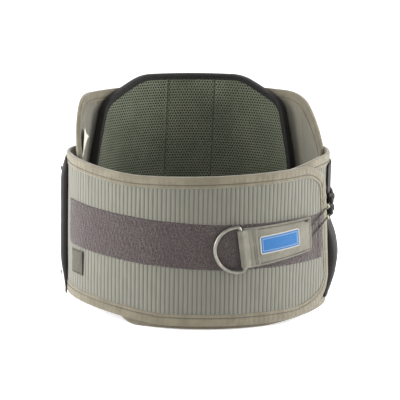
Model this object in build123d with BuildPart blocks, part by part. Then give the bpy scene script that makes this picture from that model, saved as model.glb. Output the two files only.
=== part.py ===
"""A lumbar support belt, standing closed as it is worn.

The front is at -Y and up is +Z. Left and right are as seen from the front: left is -X.
The belt runs round a four-centre oval. Every layer is a band between two offsets of that
oval, positive outwards, cut to its outline. Lengths are in millimetres, angles in degrees.
"""

from build123d import *
from math import atan2, cos, degrees, hypot, pi, radians, sin, sqrt, tan
import os

os.makedirs("parts", exist_ok=True)

# Plan of the belt
SIDE_CENTRE_X = 66.0
FACE_CENTRE_Y = 49.5
SIDE_RADIUS = 85.0
FACE_RADIUS = SIDE_RADIUS + hypot(SIDE_CENTRE_X, FACE_CENTRE_Y)
FACE_HALF_ANGLE = degrees(atan2(SIDE_CENTRE_X, FACE_CENTRE_Y))
FAR = 220.0

# The oval's centre, in the frame whose origin is under the middle of the whole belt
PLAN_CENTRE_Y = 5.3

# Layers, as (inner, outer) offsets from the plan
PAD = (-25.0, -14.9)
STIFFENER = (-14.6, -12.7)
BACK = (-11.8, -7.5)
SLIDE_PLATE = (-7.3, -5.8)
WING = (-6.2, -2.8)
LEFT_STAY = (-5.8, -1.9)
FLAP = (-1.1, 2.5)
CLOSURE_HOOK = (-2.0, -1.1)
LOOP_STRIP = (2.5, 3.7)
TAB_HOOK = (4.1, 5.2)
TAB = (5.2, 7.8)
LOOP_TAIL = (7.8, 9.2)
BADGE = (7.8, 8.5)
GUSSET = (-5.4, -4.0)
BINDING_WIDTH = 13.0
BINDING_THICKNESS = 0.6
EDGE_COVER = 0.6

# Heights
BACK_TOP = 241.0
PAD_TOP = 256.0
PAD_BOTTOM = 7.0
FLAP_BOTTOM = 4.0
FLAP_TOP = 171.0
WING_TOP = 162.0
LEFT_TOP = 178.0
LEFT_BOTTOM = 9.0

# Back panel, seen from the side: its upright front border, and the slope above it
LEFT_BORDER_Y = -18.0
RIGHT_BORDER_SHIFT = 15.0
BORDER_TOP = 178.0
BORDER_BOTTOM = 11.0
BOTTOM_RUN = 70.0
SLOPE_RUN = 48.0
BORDER_FILLET = 14.0
TOP_FILLET = 35.0

# Opening line of the front flap, at the left
HINGE_Y = -12.0
HINGE_GAP = 0.25
WING_REAR_Y = 44.0

# Front flap, under wing and strip
FLAP_END_X = 140.0
FLAP_LOW_CORNER = 32.0
FLAP_HIGH_CORNER = 18.0
UNDER_WING_END_X = -97.0
STRIP_LOW = 68.0
STRIP_HIGH = 120.0
STRIP_LEFT_X = -150.0

# D-ring and its pull tab
WIRE_RADIUS = 2.0
RING_HALF_HEIGHT = 25.5
RING_STRAIGHT = 5.5
RING_CORNER = 4.0
BAR_X = 39.4
BAR_Z = 93.2
BAR_TILT = 8.2
BAR_OFFSET = 7.9
BOW_X = 7.0
BOW_OFFSET = 6.5
LOOP_HEIGHT = 43.0
LOOP_BORE = 2.3
LOOP_OUTSIDE = 3.7

# Side covers
COVER_WALL = 1.8
LEFT_COVER = (3.4, 10.5)
RIGHT_SHEET = (-2.0, -0.4)
RIGHT_BULGE_OUT = 11.0
RIGHT_STAY = (-2.1, -0.9)
RIGHT_COVER_Y = (-36.0, 42.0)
LEFT_COVER_Y = (-11.5, 40.0)
COVER_LOW = 14.0
COVER_HIGH = 172.0
BULGE_HIGH = 104.0

# Cords and pulleys
CORD_RADIUS = 0.75
PULL_LEVELS = (130.0, 117.0)
CORD_PITCH = 5.5
PULLEY_RADIUS = 7.0
PULLEY_THICKNESS = 3.0
GROOVE_WIDTH = 1.7
GROOVE_RADIUS = 4.7
AXLE_RADIUS = 1.5
AXLE_PLAY = 0.2
HOUSING_ANGLE = 20.0
HOUSING_HEIGHT = 126.0
HOUSING_OUTER = 22.0
HOUSING_INNER = 3.0
BASE_OFFSET = -5.4
BASE_THICKNESS = 2.0
PULLEY_LIFT = 1.7
BAR_LIFT = 3.5
BAR_WIDTH = 8.0
PLATE_CORD_OFFSET = SLIDE_PLATE[1] + CORD_RADIUS
SIDE_CORD_OFFSET = 3.0
FAIRLEAD_CORD_LIFT = 3.2
FAIRLEAD_HEIGHT = 5.2
HOUSING_MID_Z = sum(PULL_LEVELS) / 2


def save(builder, name):
    """Moves a finished piece from the plan's frame to the belt's, labels it and writes its STEP file."""
    builder.part.locate(Location((0, PLAN_CENTRE_Y, 0)) * builder.part.location)
    builder.part.label = name
    export_step(builder.part, f"parts/{name}.step")
    builder.part.locate(Location((0, -PLAN_CENTRE_Y, 0)) * builder.part.location)


# ---------------------------------------------------------------- plan helpers


def plan_face(offset, mode=Mode.ADD):
    """The face inside the oval at an offset, for the sketch that is open."""
    side_sweep = 2 * (90 - FACE_HALF_ANGLE)
    face_sweep = 2 * FACE_HALF_ANGLE
    face = FACE_RADIUS + offset
    side = SIDE_RADIUS + offset
    with BuildLine() as oval:
        CenterArc((0, FACE_CENTRE_Y), face, -90 - FACE_HALF_ANGLE, face_sweep)
        CenterArc((SIDE_CENTRE_X, 0), side, FACE_HALF_ANGLE - 90, side_sweep)
        CenterArc((0, -FACE_CENTRE_Y), face, 90 - FACE_HALF_ANGLE, face_sweep)
        CenterArc((-SIDE_CENTRE_X, 0), side, 90 + FACE_HALF_ANGLE, side_sweep)
    make_face(oval.line, mode=mode)


def band(layer, low, high):
    """The band between a layer's two offsets, all the way round, from low to high."""
    with BuildSketch(Plane.XY.offset(low)) as ring:
        plan_face(layer[1])
        plan_face(layer[0], Mode.SUBTRACT)
    extrude(ring.sketch, amount=high - low)


def front_y(x, offset):
    """Y of the belt's front half at x, on the surface at that offset."""
    limit = (FACE_RADIUS + offset) * sin(radians(FACE_HALF_ANGLE))
    if abs(x) <= limit:
        return FACE_CENTRE_Y - sqrt((FACE_RADIUS + offset) ** 2 - x**2)
    return -sqrt((SIDE_RADIUS + offset) ** 2 - (abs(x) - SIDE_CENTRE_X) ** 2)


def side_point(angle, offset, z):
    """A point on the right side arc, its angle counted from +X towards the back."""
    radius = SIDE_RADIUS + offset
    return (SIDE_CENTRE_X + radius * cos(radians(angle)), radius * sin(radians(angle)), z)


def back_point(angle, offset, z):
    """A point on the back arc, its angle counted from +Y towards +X."""
    radius = FACE_RADIUS + offset
    return (radius * sin(radians(angle)), radius * cos(radians(angle)) - FACE_CENTRE_Y, z)


def back_plane(angle, offset, z):
    """A plane that touches the back at an angle, its normal outwards and its y axis up."""
    outward = (sin(radians(angle)), cos(radians(angle)), 0)
    return Plane(origin=back_point(angle, offset, z), x_dir=(-outward[1], outward[0], 0), z_dir=outward)


def keep_front(outline, inset=0.0, front=FAR, back=0.0):
    """Keeps what lies inside an XZ outline, from y = back forward to y = -front."""
    with BuildSketch(Plane.XZ.offset(-back)) as profile:
        outline(inset)
    extrude(profile.sketch, amount=front + back, mode=Mode.INTERSECT)


def cut_front(outline, inset, front=FAR, back=0.0):
    """Cuts away what lies inside an XZ outline."""
    with BuildSketch(Plane.XZ.offset(-back)) as profile:
        outline(inset)
    extrude(profile.sketch, amount=front + back, mode=Mode.SUBTRACT)


def corner_fillet(x_rank, z_rank, radius):
    """Rounds one corner of the open sketch, by its rank along x and then along y."""
    corners = vertices().group_by(Axis.X)[x_rank].sort_by(Axis.Y)
    fillet(corners[z_rank], radius)


# ---------------------------------------------------------------- back panel


def back_outline(inset, shift):
    """The back panel seen from the side: upright front border, slope, rounded top corner."""
    border = LEFT_BORDER_Y + shift + inset
    with BuildLine() as edge:
        Polyline(
            (FAR, inset),
            (LEFT_BORDER_Y + BOTTOM_RUN + shift, inset),
            (border, BORDER_BOTTOM + inset),
            (border, BORDER_TOP + inset * 0.4),
            (border + SLOPE_RUN - inset * 0.3, BACK_TOP - inset),
            (FAR, BACK_TOP - inset),
            close=True,
        )
    make_face(edge.line)
    border_corners = vertices().group_by(Axis.X)[0].sort_by(Axis.Y)
    fillet(border_corners, BORDER_FILLET)
    top_corners = vertices().group_by(Axis.Y)[-1].sort_by(Axis.X)
    fillet(top_corners[0], TOP_FILLET)


def back_halves(inset, mode):
    """Applies the left and the right back outline, each on its own half of the belt."""
    with BuildPart(mode=Mode.PRIVATE) as halves:
        with BuildSketch(Plane.YZ):
            back_outline(inset, 0.0)
        extrude(amount=-FAR)
        with BuildSketch(Plane.YZ):
            back_outline(inset, RIGHT_BORDER_SHIFT)
        extrude(amount=FAR)
    add(halves.part, mode=mode)


SLIDE_LOW = 46.0
SLIDE_HIGH = 201.0
SLIDE_HALF_WIDTH = 93.0
SLIDE_CORNER = 16.0
RIVET_ANGLES = (-32.0, 0.0, 32.0)
RIVET_MARGIN = 8.0
RIVET_SHANK = 2.0
RIVET_HEAD = 4.5
RIVET_HEAD_HEIGHT = 1.2
RIVET_LENGTH = SLIDE_PLATE[1] - BACK[0] - 0.8


def rivet_planes():
    """Where the slide plate is riveted to the back panel, on its outer face."""
    return [
        back_plane(angle, SLIDE_PLATE[1], z)
        for angle in RIVET_ANGLES
        for z in (SLIDE_LOW + RIVET_MARGIN, SLIDE_HIGH - RIVET_MARGIN)
    ]


with BuildPart() as back_panel:
    band(BACK, 0, BACK_TOP)
    back_halves(EDGE_COVER, Mode.INTERSECT)
    with Locations(*[plane.location for plane in rivet_planes()]):
        Hole(RIVET_SHANK, RIVET_LENGTH)
save(back_panel, "back_panel")

with BuildPart() as back_panel_binding:
    band((BACK[0] - BINDING_THICKNESS, BACK[1] + BINDING_THICKNESS), 0, BACK_TOP)
    back_halves(0.0, Mode.INTERSECT)
    back_halves(BINDING_WIDTH, Mode.SUBTRACT)
    add(back_panel.part, mode=Mode.SUBTRACT)
save(back_panel_binding, "back_panel_binding")

with BuildPart() as slide_plate:
    band(SLIDE_PLATE, SLIDE_LOW, SLIDE_HIGH)
    with BuildSketch(Plane.XZ):
        with Locations((0, (SLIDE_LOW + SLIDE_HIGH) / 2)):
            RectangleRounded(2 * SLIDE_HALF_WIDTH, SLIDE_HIGH - SLIDE_LOW, SLIDE_CORNER)
    extrude(amount=-FAR, mode=Mode.INTERSECT)
    with Locations(*[plane.location for plane in rivet_planes()]):
        Hole(RIVET_SHANK, RIVET_LENGTH)
save(slide_plate, "slide_plate")

with BuildPart() as slide_plate_rivets:
    for plane in rivet_planes():
        with BuildSketch(plane):
            Circle(RIVET_HEAD)
        extrude(amount=RIVET_HEAD_HEIGHT)
        with BuildSketch(plane):
            Circle(RIVET_SHANK)
        extrude(amount=-RIVET_LENGTH)
save(slide_plate_rivets, "slide_plate_rivets")

# ---------------------------------------------------------------- lumbar pad

PAD_SHIFT_X = -6.0
PAD_BINDING_WIDTH = 6.5
STIFFENER_LOW = 30.0
STIFFENER_HIGH = 225.0
STIFFENER_WIDTH = 150.0
STIFFENER_CORNER = 25.0
STIFFENER_SLOT = (26.0, 8.0)
STIFFENER_SLOT_PITCH = (46.0, 34.0)

# Right half of the pad's outline: x, z and corner radius, from the top down
PAD_CORNERS = (
    (76, PAD_TOP, 30),
    (110, 226, 40),
    (119, 150, 200),
    (113, 48, 60),
    (78, PAD_BOTTOM, 45),
)


def pad_outline(inset):
    """Outline of the pad, narrow at top and bottom, as a sketch of its own."""
    right = [(x, z) for x, z, radius in PAD_CORNERS]
    left = [(-x, z) for x, z in reversed(right)]
    with BuildSketch(Plane((PAD_SHIFT_X, 0, 0), x_dir=(1, 0, 0), z_dir=(0, -1, 0))) as outline:
        with BuildLine() as edge:
            Polyline(*right, *left, close=True)
        make_face(edge.line)
        for x, z, radius in PAD_CORNERS:
            for side in (-1, 1):
                spot = Vector(side * x, z)
                nearest = vertices().sort_by(lambda corner: (Vector(*corner) - spot).length)[0]
                fillet(nearest, radius)
        if inset > 0:
            offset(amount=-inset, mode=Mode.REPLACE)
    return outline.sketch


def pad_prism(inset, mode):
    """Applies the pad outline to the part that is open."""
    extrude(pad_outline(inset), amount=-FAR, mode=mode)


with BuildPart() as back_pad:
    band(PAD, 0, PAD_TOP)
    pad_prism(EDGE_COVER, Mode.INTERSECT)
save(back_pad, "back_pad")

with BuildPart() as back_pad_binding:
    band((PAD[0] - BINDING_THICKNESS, PAD[1]), 0, PAD_TOP)
    pad_prism(0.0, Mode.INTERSECT)
    pad_prism(PAD_BINDING_WIDTH, Mode.SUBTRACT)
    add(back_pad.part, mode=Mode.SUBTRACT)
save(back_pad_binding, "back_pad_binding")

with BuildPart() as lumbar_stiffener:
    band(STIFFENER, STIFFENER_LOW, STIFFENER_HIGH)
    with BuildSketch(Plane.XZ):
        with Locations((PAD_SHIFT_X, (STIFFENER_LOW + STIFFENER_HIGH) / 2)):
            RectangleRounded(STIFFENER_WIDTH, STIFFENER_HIGH - STIFFENER_LOW, STIFFENER_CORNER)
            with GridLocations(*STIFFENER_SLOT_PITCH, 3, 5):
                SlotOverall(*STIFFENER_SLOT, mode=Mode.SUBTRACT)
    extrude(amount=-FAR, mode=Mode.INTERSECT)
save(lumbar_stiffener, "lumbar_stiffener")

# ---------------------------------------------------------------- wings


WING_CORNER = 22.0
WING_RISE = 14.0
WING_FAR_TOP = 170.0


def right_wing_outline(inset):
    """Right wing from its rounded end under the flap, round the right side."""
    end = UNDER_WING_END_X + inset
    with BuildLine() as edge:
        Polyline(
            (end, inset),
            (70, inset),
            (FAR, WING_RISE + inset),
            (FAR, WING_FAR_TOP - inset),
            (60, WING_TOP - inset),
            (end, WING_TOP - inset),
            close=True,
        )
    make_face(edge.line)
    corner_fillet(0, 0, WING_CORNER - inset)
    corner_fillet(0, -1, WING_CORNER - inset)


with BuildPart() as right_wing:
    band(WING, 0, LEFT_TOP)
    keep_front(right_wing_outline, EDGE_COVER, back=WING_REAR_Y)
save(right_wing, "right_wing")

with BuildPart() as right_wing_binding:
    band((WING[0] - BINDING_THICKNESS, WING[1] + BINDING_THICKNESS), 0, LEFT_TOP)
    keep_front(right_wing_outline, 0.0, back=WING_REAR_Y)
    cut_front(right_wing_outline, BINDING_WIDTH, back=WING_REAR_Y)
    add(right_wing.part, mode=Mode.SUBTRACT)
save(right_wing_binding, "right_wing_binding")


# Along the flap: where its level edges start to rise, the middle of that rise, and its left end
RISE_X = 20.0
RISE_MIDDLE_X = -75.0
RISE_END_X = -170.0


def flap_outline(inset):
    """Front flap: edges that rise a little to the left, and a rounded right end."""
    end = FLAP_END_X - 0.6 * inset
    low = FLAP_BOTTOM + inset
    high = FLAP_TOP - inset
    left_low = LEFT_BOTTOM + 1.0 + inset
    left_high = LEFT_TOP + 1.0 - inset
    with BuildLine() as edge:
        Line((end, low), (RISE_X, low))
        ThreePointArc((RISE_X, low), (RISE_MIDDLE_X, low + 1.6), (RISE_END_X, left_low))
        Line((RISE_END_X, left_low), (RISE_END_X, left_high))
        ThreePointArc((RISE_END_X, left_high), (RISE_MIDDLE_X, high + 2.4), (RISE_X, high))
        Line((RISE_X, high), (end, high - 1.5))
        Line((end, high - 1.5), (end, low))
    make_face(edge.line)
    corner_fillet(-1, 0, FLAP_LOW_CORNER - inset)
    corner_fillet(-1, -1, FLAP_HIGH_CORNER - inset)


def binding_of_flap():
    """The edge binding that the flap and the left wing share, before it is split."""
    band((FLAP[0] - BINDING_THICKNESS, FLAP[1] + BINDING_THICKNESS), 0, LEFT_TOP + 4)


with BuildPart() as left_wing:
    band(FLAP, 0, LEFT_TOP + 4)
    keep_front(flap_outline, EDGE_COVER, front=-HINGE_Y - HINGE_GAP, back=WING_REAR_Y)
    split(bisect_by=Plane.YZ, keep=Keep.BOTTOM)
save(left_wing, "left_wing")

with BuildPart() as left_wing_binding:
    binding_of_flap()
    keep_front(flap_outline, 0.0, front=-HINGE_Y - HINGE_GAP, back=WING_REAR_Y)
    cut_front(flap_outline, BINDING_WIDTH, back=WING_REAR_Y)
    split(bisect_by=Plane.YZ, keep=Keep.BOTTOM)
    add(left_wing.part, mode=Mode.SUBTRACT)
save(left_wing_binding, "left_wing_binding")

with BuildPart() as front_flap:
    band(FLAP, 0, LEFT_TOP + 4)
    keep_front(flap_outline, EDGE_COVER, back=HINGE_Y - HINGE_GAP)
save(front_flap, "front_flap")

with BuildPart() as front_flap_binding:
    binding_of_flap()
    keep_front(flap_outline, 0.0, back=HINGE_Y - HINGE_GAP)
    cut_front(flap_outline, BINDING_WIDTH)
    add(front_flap.part, mode=Mode.SUBTRACT)
save(front_flap_binding, "front_flap_binding")


STRIP_END_X = FLAP_END_X - 3.0
STRIP_RISE = 11.0
STRIP_MIDDLE_X = -70.0
STRIP_MIDDLE_RISE = 2.5


def strip_outline(inset):
    """Loop strip across the flap, level at the right and rising to the left."""
    left_low = STRIP_LOW + STRIP_RISE + inset
    left_high = STRIP_HIGH + STRIP_RISE - inset
    low = STRIP_LOW + inset
    high = STRIP_HIGH - inset
    with BuildLine() as edge:
        Line((STRIP_END_X, low), (RISE_X, low))
        ThreePointArc((RISE_X, low), (STRIP_MIDDLE_X, low + STRIP_MIDDLE_RISE), (STRIP_LEFT_X, left_low))
        Line((STRIP_LEFT_X, left_low), (STRIP_LEFT_X, left_high))
        ThreePointArc((STRIP_LEFT_X, left_high), (STRIP_MIDDLE_X, high + STRIP_MIDDLE_RISE), (RISE_X, high))
        Line((RISE_X, high), (STRIP_END_X, high))
        Line((STRIP_END_X, high), (STRIP_END_X, low))
    make_face(edge.line)


with BuildPart() as loop_strip:
    band(LOOP_STRIP, STRIP_LOW - 5, STRIP_HIGH + 20)
    keep_front(strip_outline, back=HINGE_Y - 10.0)
    add(front_flap_binding.part, mode=Mode.SUBTRACT)
save(loop_strip, "loop_strip")

CLOSURE_HOOK_MIDDLE = (84.0, 87.5)
CLOSURE_HOOK_SIZE = (58.0, 104.0)
CLOSURE_HOOK_CORNER = 8.0

with BuildPart() as closure_hook:
    band(CLOSURE_HOOK, 0, FLAP_TOP)
    with BuildSketch(Plane.XZ):
        with Locations(CLOSURE_HOOK_MIDDLE):
            RectangleRounded(*CLOSURE_HOOK_SIZE, CLOSURE_HOOK_CORNER)
    extrude(amount=FAR, mode=Mode.INTERSECT)
save(closure_hook, "closure_hook")

# ---------------------------------------------------------------- D-ring and tab


def bar_frame():
    """The ring's plane: origin at the bar's middle, x away from the bow, y along the bar."""
    bar = Vector(BAR_X, front_y(BAR_X, BAR_OFFSET), BAR_Z)
    bow = Vector(BOW_X, front_y(BOW_X, BOW_OFFSET), BAR_Z)
    across = (bar - bow).normalized()
    outward = across.cross(Vector(0, 0, 1))
    tilted = across.rotate(Axis((0, 0, 0), tuple(outward)), BAR_TILT)
    return Plane(origin=bar, x_dir=tilted, z_dir=outward)


RING_PLANE = bar_frame()
BOW_CENTRE_X = -RING_STRAIGHT

with BuildPart() as d_ring:
    with BuildLine(RING_PLANE) as ring_path:
        Line((0, RING_CORNER - RING_HALF_HEIGHT), (0, RING_HALF_HEIGHT - RING_CORNER))
        RadiusArc(
            (0, RING_HALF_HEIGHT - RING_CORNER),
            (-RING_CORNER, RING_HALF_HEIGHT),
            -RING_CORNER,
        )
        Line((-RING_CORNER, RING_HALF_HEIGHT), (BOW_CENTRE_X, RING_HALF_HEIGHT))
        ThreePointArc(
            (BOW_CENTRE_X, RING_HALF_HEIGHT),
            (BOW_CENTRE_X - RING_HALF_HEIGHT, 0),
            (BOW_CENTRE_X, -RING_HALF_HEIGHT),
        )
        Line((BOW_CENTRE_X, -RING_HALF_HEIGHT), (-RING_CORNER, -RING_HALF_HEIGHT))
        RadiusArc(
            (-RING_CORNER, -RING_HALF_HEIGHT),
            (0, RING_CORNER - RING_HALF_HEIGHT),
            -RING_CORNER,
        )
    with BuildSketch(Plane(origin=RING_PLANE.origin, z_dir=RING_PLANE.y_dir)):
        Circle(WIRE_RADIUS)
    sweep()
save(d_ring, "d_ring")


TAB_LOW_LEFT = (42.0, 70.0)
TAB_LOW_RIGHT = (122.0, 81.5)
TAB_HIGH_RIGHT = (119.5, 121.0)
TAB_HIGH_LEFT = (38.0, 116.0)
TAB_CORNER = 3.0


def tab_outline(inset):
    """Pull tab, tapering away from the ring and rising a little."""
    with BuildLine() as edge:
        Polyline(
            (TAB_LOW_LEFT[0] + inset, TAB_LOW_LEFT[1] + inset),
            (TAB_LOW_RIGHT[0] - inset, TAB_LOW_RIGHT[1] + inset),
            (TAB_HIGH_RIGHT[0] - inset, TAB_HIGH_RIGHT[1] - inset),
            (TAB_HIGH_LEFT[0] + inset, TAB_HIGH_LEFT[1] - inset),
            close=True,
        )
    make_face(edge.line)
    fillet(vertices(), TAB_CORNER)


LOOP_TAIL_OUTLINE = ((43.5, 72.5), (55.5, 74.3), (49.5, 115.0), (37.5, 114.0))
LOOP_PLANE = Plane(
    origin=RING_PLANE.origin - RING_PLANE.y_dir * (LOOP_HEIGHT / 2),
    x_dir=RING_PLANE.x_dir,
    z_dir=RING_PLANE.y_dir,
)

with BuildPart() as ring_loop:
    band(LOOP_TAIL, BAR_Z - 30, BAR_Z + 30)
    with BuildSketch(Plane.XZ):
        with BuildLine():
            Polyline(*LOOP_TAIL_OUTLINE, close=True)
        make_face()
    extrude(amount=FAR, mode=Mode.INTERSECT)
    with BuildSketch(LOOP_PLANE):
        Circle(LOOP_OUTSIDE)
    extrude(amount=LOOP_HEIGHT)
    with BuildSketch(LOOP_PLANE.offset(-10)):
        Circle(LOOP_BORE)
    extrude(amount=LOOP_HEIGHT + 20, mode=Mode.SUBTRACT)
save(ring_loop, "ring_loop")

with BuildPart() as pull_tab:
    band(TAB, 60, 130)
    keep_front(tab_outline)
    with BuildSketch(LOOP_PLANE.offset(-10)):
        Circle(LOOP_OUTSIDE + 0.1)
    extrude(amount=LOOP_HEIGHT + 20, mode=Mode.SUBTRACT)
save(pull_tab, "pull_tab")

TAB_HOOK_MARGIN = 4.0
TAB_HOOK_MIDDLE = (85.0, 95.0)
TAB_HOOK_SIZE = (66.0, 80.0)

with BuildPart() as tab_hook:
    band(TAB_HOOK, 60, 130)
    keep_front(tab_outline, TAB_HOOK_MARGIN)
    with BuildSketch(Plane.XZ):
        with Locations(TAB_HOOK_MIDDLE):
            Rectangle(*TAB_HOOK_SIZE)
    extrude(amount=FAR, mode=Mode.INTERSECT)
save(tab_hook, "tab_hook")


BADGE_MIDDLE = (82.5, 98.0)
BADGE_TILT = 6.0
BADGE_SIZE = (47.0, 21.0)
BADGE_CORNER = 3.0


def badge_outline(inset):
    """Woven badge on the tab, in line with the tab."""
    with Locations(Location(BADGE_MIDDLE, BADGE_TILT)):
        RectangleRounded(BADGE_SIZE[0] - 2 * inset, BADGE_SIZE[1] - 2 * inset, BADGE_CORNER)


with BuildPart() as tab_badge:
    band(BADGE, 80, 120)
    keep_front(badge_outline)
save(tab_badge, "tab_badge")

TAB_RIVET_SPOT = (114.5, 117.0)
TAB_RIVET_RADIUS = 1.6
TAB_RIVET_HEIGHT = 0.9

with BuildPart() as tab_rivet:
    band((TAB[1], TAB[1] + TAB_RIVET_HEIGHT), 105, 130)
    with BuildSketch(Plane.XZ):
        with Locations(TAB_RIVET_SPOT):
            Circle(TAB_RIVET_RADIUS)
    extrude(amount=FAR, mode=Mode.INTERSECT)
save(tab_rivet, "tab_rivet")

# ---------------------------------------------------------------- side covers


def side_block(layer, low, high, y_range, side):
    """One curved block on a side of the belt, as a part of its own."""
    with BuildPart(mode=Mode.PRIVATE) as block:
        band(layer, low, high)
        with BuildSketch(Plane.XY.offset(low)):
            with Locations((side * 140, sum(y_range) / 2)):
                Rectangle(120, y_range[1] - y_range[0])
        extrude(amount=high - low, mode=Mode.INTERSECT)
    return block.part


def inset_range(whole, inset):
    """A range made shorter by an inset at both ends."""
    return (whole[0] + inset, whole[1] - inset)


LEFT_HOLLOW = (LEFT_COVER[0] - 1, LEFT_COVER[1] - COVER_WALL)
RIGHT_HOLLOW = (RIGHT_SHEET[0] - 1, RIGHT_BULGE_OUT - COVER_WALL)
COVER_RIVET_Y = 20.0
COVER_RIVET_RADIUS = 2.5
COVER_RIVET_HEIGHT = 2.0
SHEET_OVERLAP = 8.0
LEFT_STAY_Y = (-8.0, 38.0)
LEFT_STAY_Z = (24.0, 165.0)
RIGHT_STAY_Z = (22.0, 96.0)
RIGHT_STAY_INSET = 5.0
SLEEVE_Z = (109.0, 138.0)
SLEEVE_Y = (-24.0, 40.0)
SLEEVE = (0.4, 5.6)
SLEEVE_WALL = 0.9
COVER_RIVETS = (
    (-1, LEFT_COVER[1], 32.0),
    (-1, LEFT_COVER[1], 156.0),
    (1, RIGHT_BULGE_OUT, 58.0),
    (1, RIGHT_SHEET[1], 156.0),
)

left_block = side_block(LEFT_COVER, COVER_LOW - 1, COVER_HIGH + 2, LEFT_COVER_Y, -1)
left_hollow = side_block(
    LEFT_HOLLOW, COVER_LOW + 1, COVER_HIGH, inset_range(LEFT_COVER_Y, COVER_WALL), -1
)
right_sheet = side_block(RIGHT_SHEET, BULGE_HIGH - SHEET_OVERLAP, COVER_HIGH, RIGHT_COVER_Y, 1)
right_bulge = side_block((RIGHT_SHEET[0], RIGHT_BULGE_OUT), COVER_LOW, BULGE_HIGH, RIGHT_COVER_Y, 1)
right_hollow = side_block(
    RIGHT_HOLLOW,
    COVER_LOW + COVER_WALL,
    BULGE_HIGH - COVER_WALL,
    inset_range(RIGHT_COVER_Y, COVER_WALL),
    1,
)

with BuildPart() as left_side_cover:
    add(left_block)
    add(left_hollow, mode=Mode.SUBTRACT)
save(left_side_cover, "left_side_cover")

with BuildPart() as right_side_cover:
    add(right_sheet)
    add(right_bulge)
    add(right_hollow, mode=Mode.SUBTRACT)
save(right_side_cover, "right_side_cover")

with BuildPart() as left_stay:
    add(side_block(LEFT_STAY, *LEFT_STAY_Z, LEFT_STAY_Y, -1))
save(left_stay, "left_stay")

with BuildPart() as right_stay:
    add(side_block(RIGHT_STAY, *RIGHT_STAY_Z, inset_range(RIGHT_COVER_Y, RIGHT_STAY_INSET), 1))
save(right_stay, "right_stay")

with BuildPart() as cover_rivets:
    for side, layer, z in COVER_RIVETS:
        foot = SIDE_CENTRE_X + sqrt((SIDE_RADIUS + layer) ** 2 - COVER_RIVET_Y**2)
        with BuildSketch(Plane(origin=(side * foot, COVER_RIVET_Y, z), z_dir=(side, 0, 0))):
            Circle(COVER_RIVET_RADIUS)
        extrude(amount=COVER_RIVET_HEIGHT)
    add(left_side_cover.part, mode=Mode.SUBTRACT)
    add(right_side_cover.part, mode=Mode.SUBTRACT)
save(cover_rivets, "cover_rivets")

with BuildPart() as cord_sleeve:
    add(side_block(SLEEVE, *SLEEVE_Z, SLEEVE_Y, 1))
    sleeve_inside = inset_range(SLEEVE, SLEEVE_WALL)
    bore_z = inset_range(SLEEVE_Z, 1.0)
    add(side_block(sleeve_inside, *bore_z, inset_range(SLEEVE_Y, -6.0), 1), mode=Mode.SUBTRACT)
save(cord_sleeve, "cord_sleeve")

# ---------------------------------------------------------------- labels

LABEL_MIDDLE = (16.0, 182.0)
LABEL_TILT = 52.0
LABEL_SIZE = (38.0, 22.0)
LABEL_THICKNESS = 0.7
SIZE_TAB_MIDDLE = (-141.5, 60.0)
SIZE_TAB_SIZE = (12.0, 28.0)

with BuildPart() as care_label:
    label_face = BACK[0] - BINDING_THICKNESS
    band((label_face - LABEL_THICKNESS, label_face), BORDER_TOP - 40, BORDER_TOP + 40)
    with BuildSketch(Plane.YZ):
        with Locations(Location(LABEL_MIDDLE, LABEL_TILT)):
            RectangleRounded(*LABEL_SIZE, 1.5)
    extrude(amount=-FAR, mode=Mode.INTERSECT)
save(care_label, "care_label")

with BuildPart() as size_tab:
    band((FLAP[1], FLAP[1] + LABEL_THICKNESS), 40, 76)
    with BuildSketch(Plane.XZ):
        with Locations(SIZE_TAB_MIDDLE):
            Rectangle(*SIZE_TAB_SIZE)
    extrude(amount=FAR, mode=Mode.INTERSECT)
save(size_tab, "size_tab")

# ---------------------------------------------------------------- rear gussets

GUSSET_LOW = 60.0
GUSSET_HIGH = 187.0
GUSSET_INNER_X = 76.0

for name, side in (("left_gusset", -1), ("right_gusset", 1)):
    with BuildPart() as gusset:
        band(GUSSET, GUSSET_LOW, GUSSET_HIGH)
        with BuildSketch(Plane.XY.offset(GUSSET_LOW)):
            with Locations((side * (GUSSET_INNER_X + 50), WING_REAR_Y + 0.5 + 50)):
                Rectangle(100, 100)
        extrude(amount=GUSSET_HIGH - GUSSET_LOW, mode=Mode.INTERSECT)
    save(gusset, name)

# ---------------------------------------------------------------- pulley housings

PULLEY_STEPS = {
    "left": (1, 5),
    "right": (3, 7),
}
POST_MARGIN = 5.0
POST_RADIUS = 2.9
AXLE_HEAD_RADIUS = 2.4
AXLE_HEAD_HEIGHT = 0.8
SCREW_RADIUS = 2.6
SCREW_HEIGHT = 1.2
SOCKET_RADIUS = 1.2
SOCKET_DEPTH = 0.7
FAIRLEAD_SIZE = (5.8, 19.0)
FAIRLEAD_BORE = 1.2
ANCHOR_SIZE = (5.0, 6.0)
ANCHOR_DISTANCE = 4.5
WALL_SIZE = (4.0, 44.0)
WALL_SPACING = 76.0
HOUSING_CORNER = 2.5


def pulley_levels(side_name):
    """Pulley heights on one side, from the top down."""
    upper = [PULL_LEVELS[0] + CORD_PITCH * step for step in reversed(PULLEY_STEPS[side_name])]
    lower = [PULL_LEVELS[1] - CORD_PITCH * step for step in PULLEY_STEPS[side_name]]
    return upper + lower


ANCHOR_LEVELS = (PULL_LEVELS[0] + 8 * CORD_PITCH, PULL_LEVELS[1] - 8 * CORD_PITCH)


def housing_plane(side, lift, z=HOUSING_MID_Z):
    """A plane parallel to a housing's base, lifted from its inner face; +x is inwards on
    the right housing and outwards on the left one."""
    return back_plane(side * HOUSING_ANGLE, BASE_OFFSET + lift, z)


def across(side, distance):
    """A distance from the axle line, positive towards the housing's outer edge."""
    return -side * distance


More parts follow.
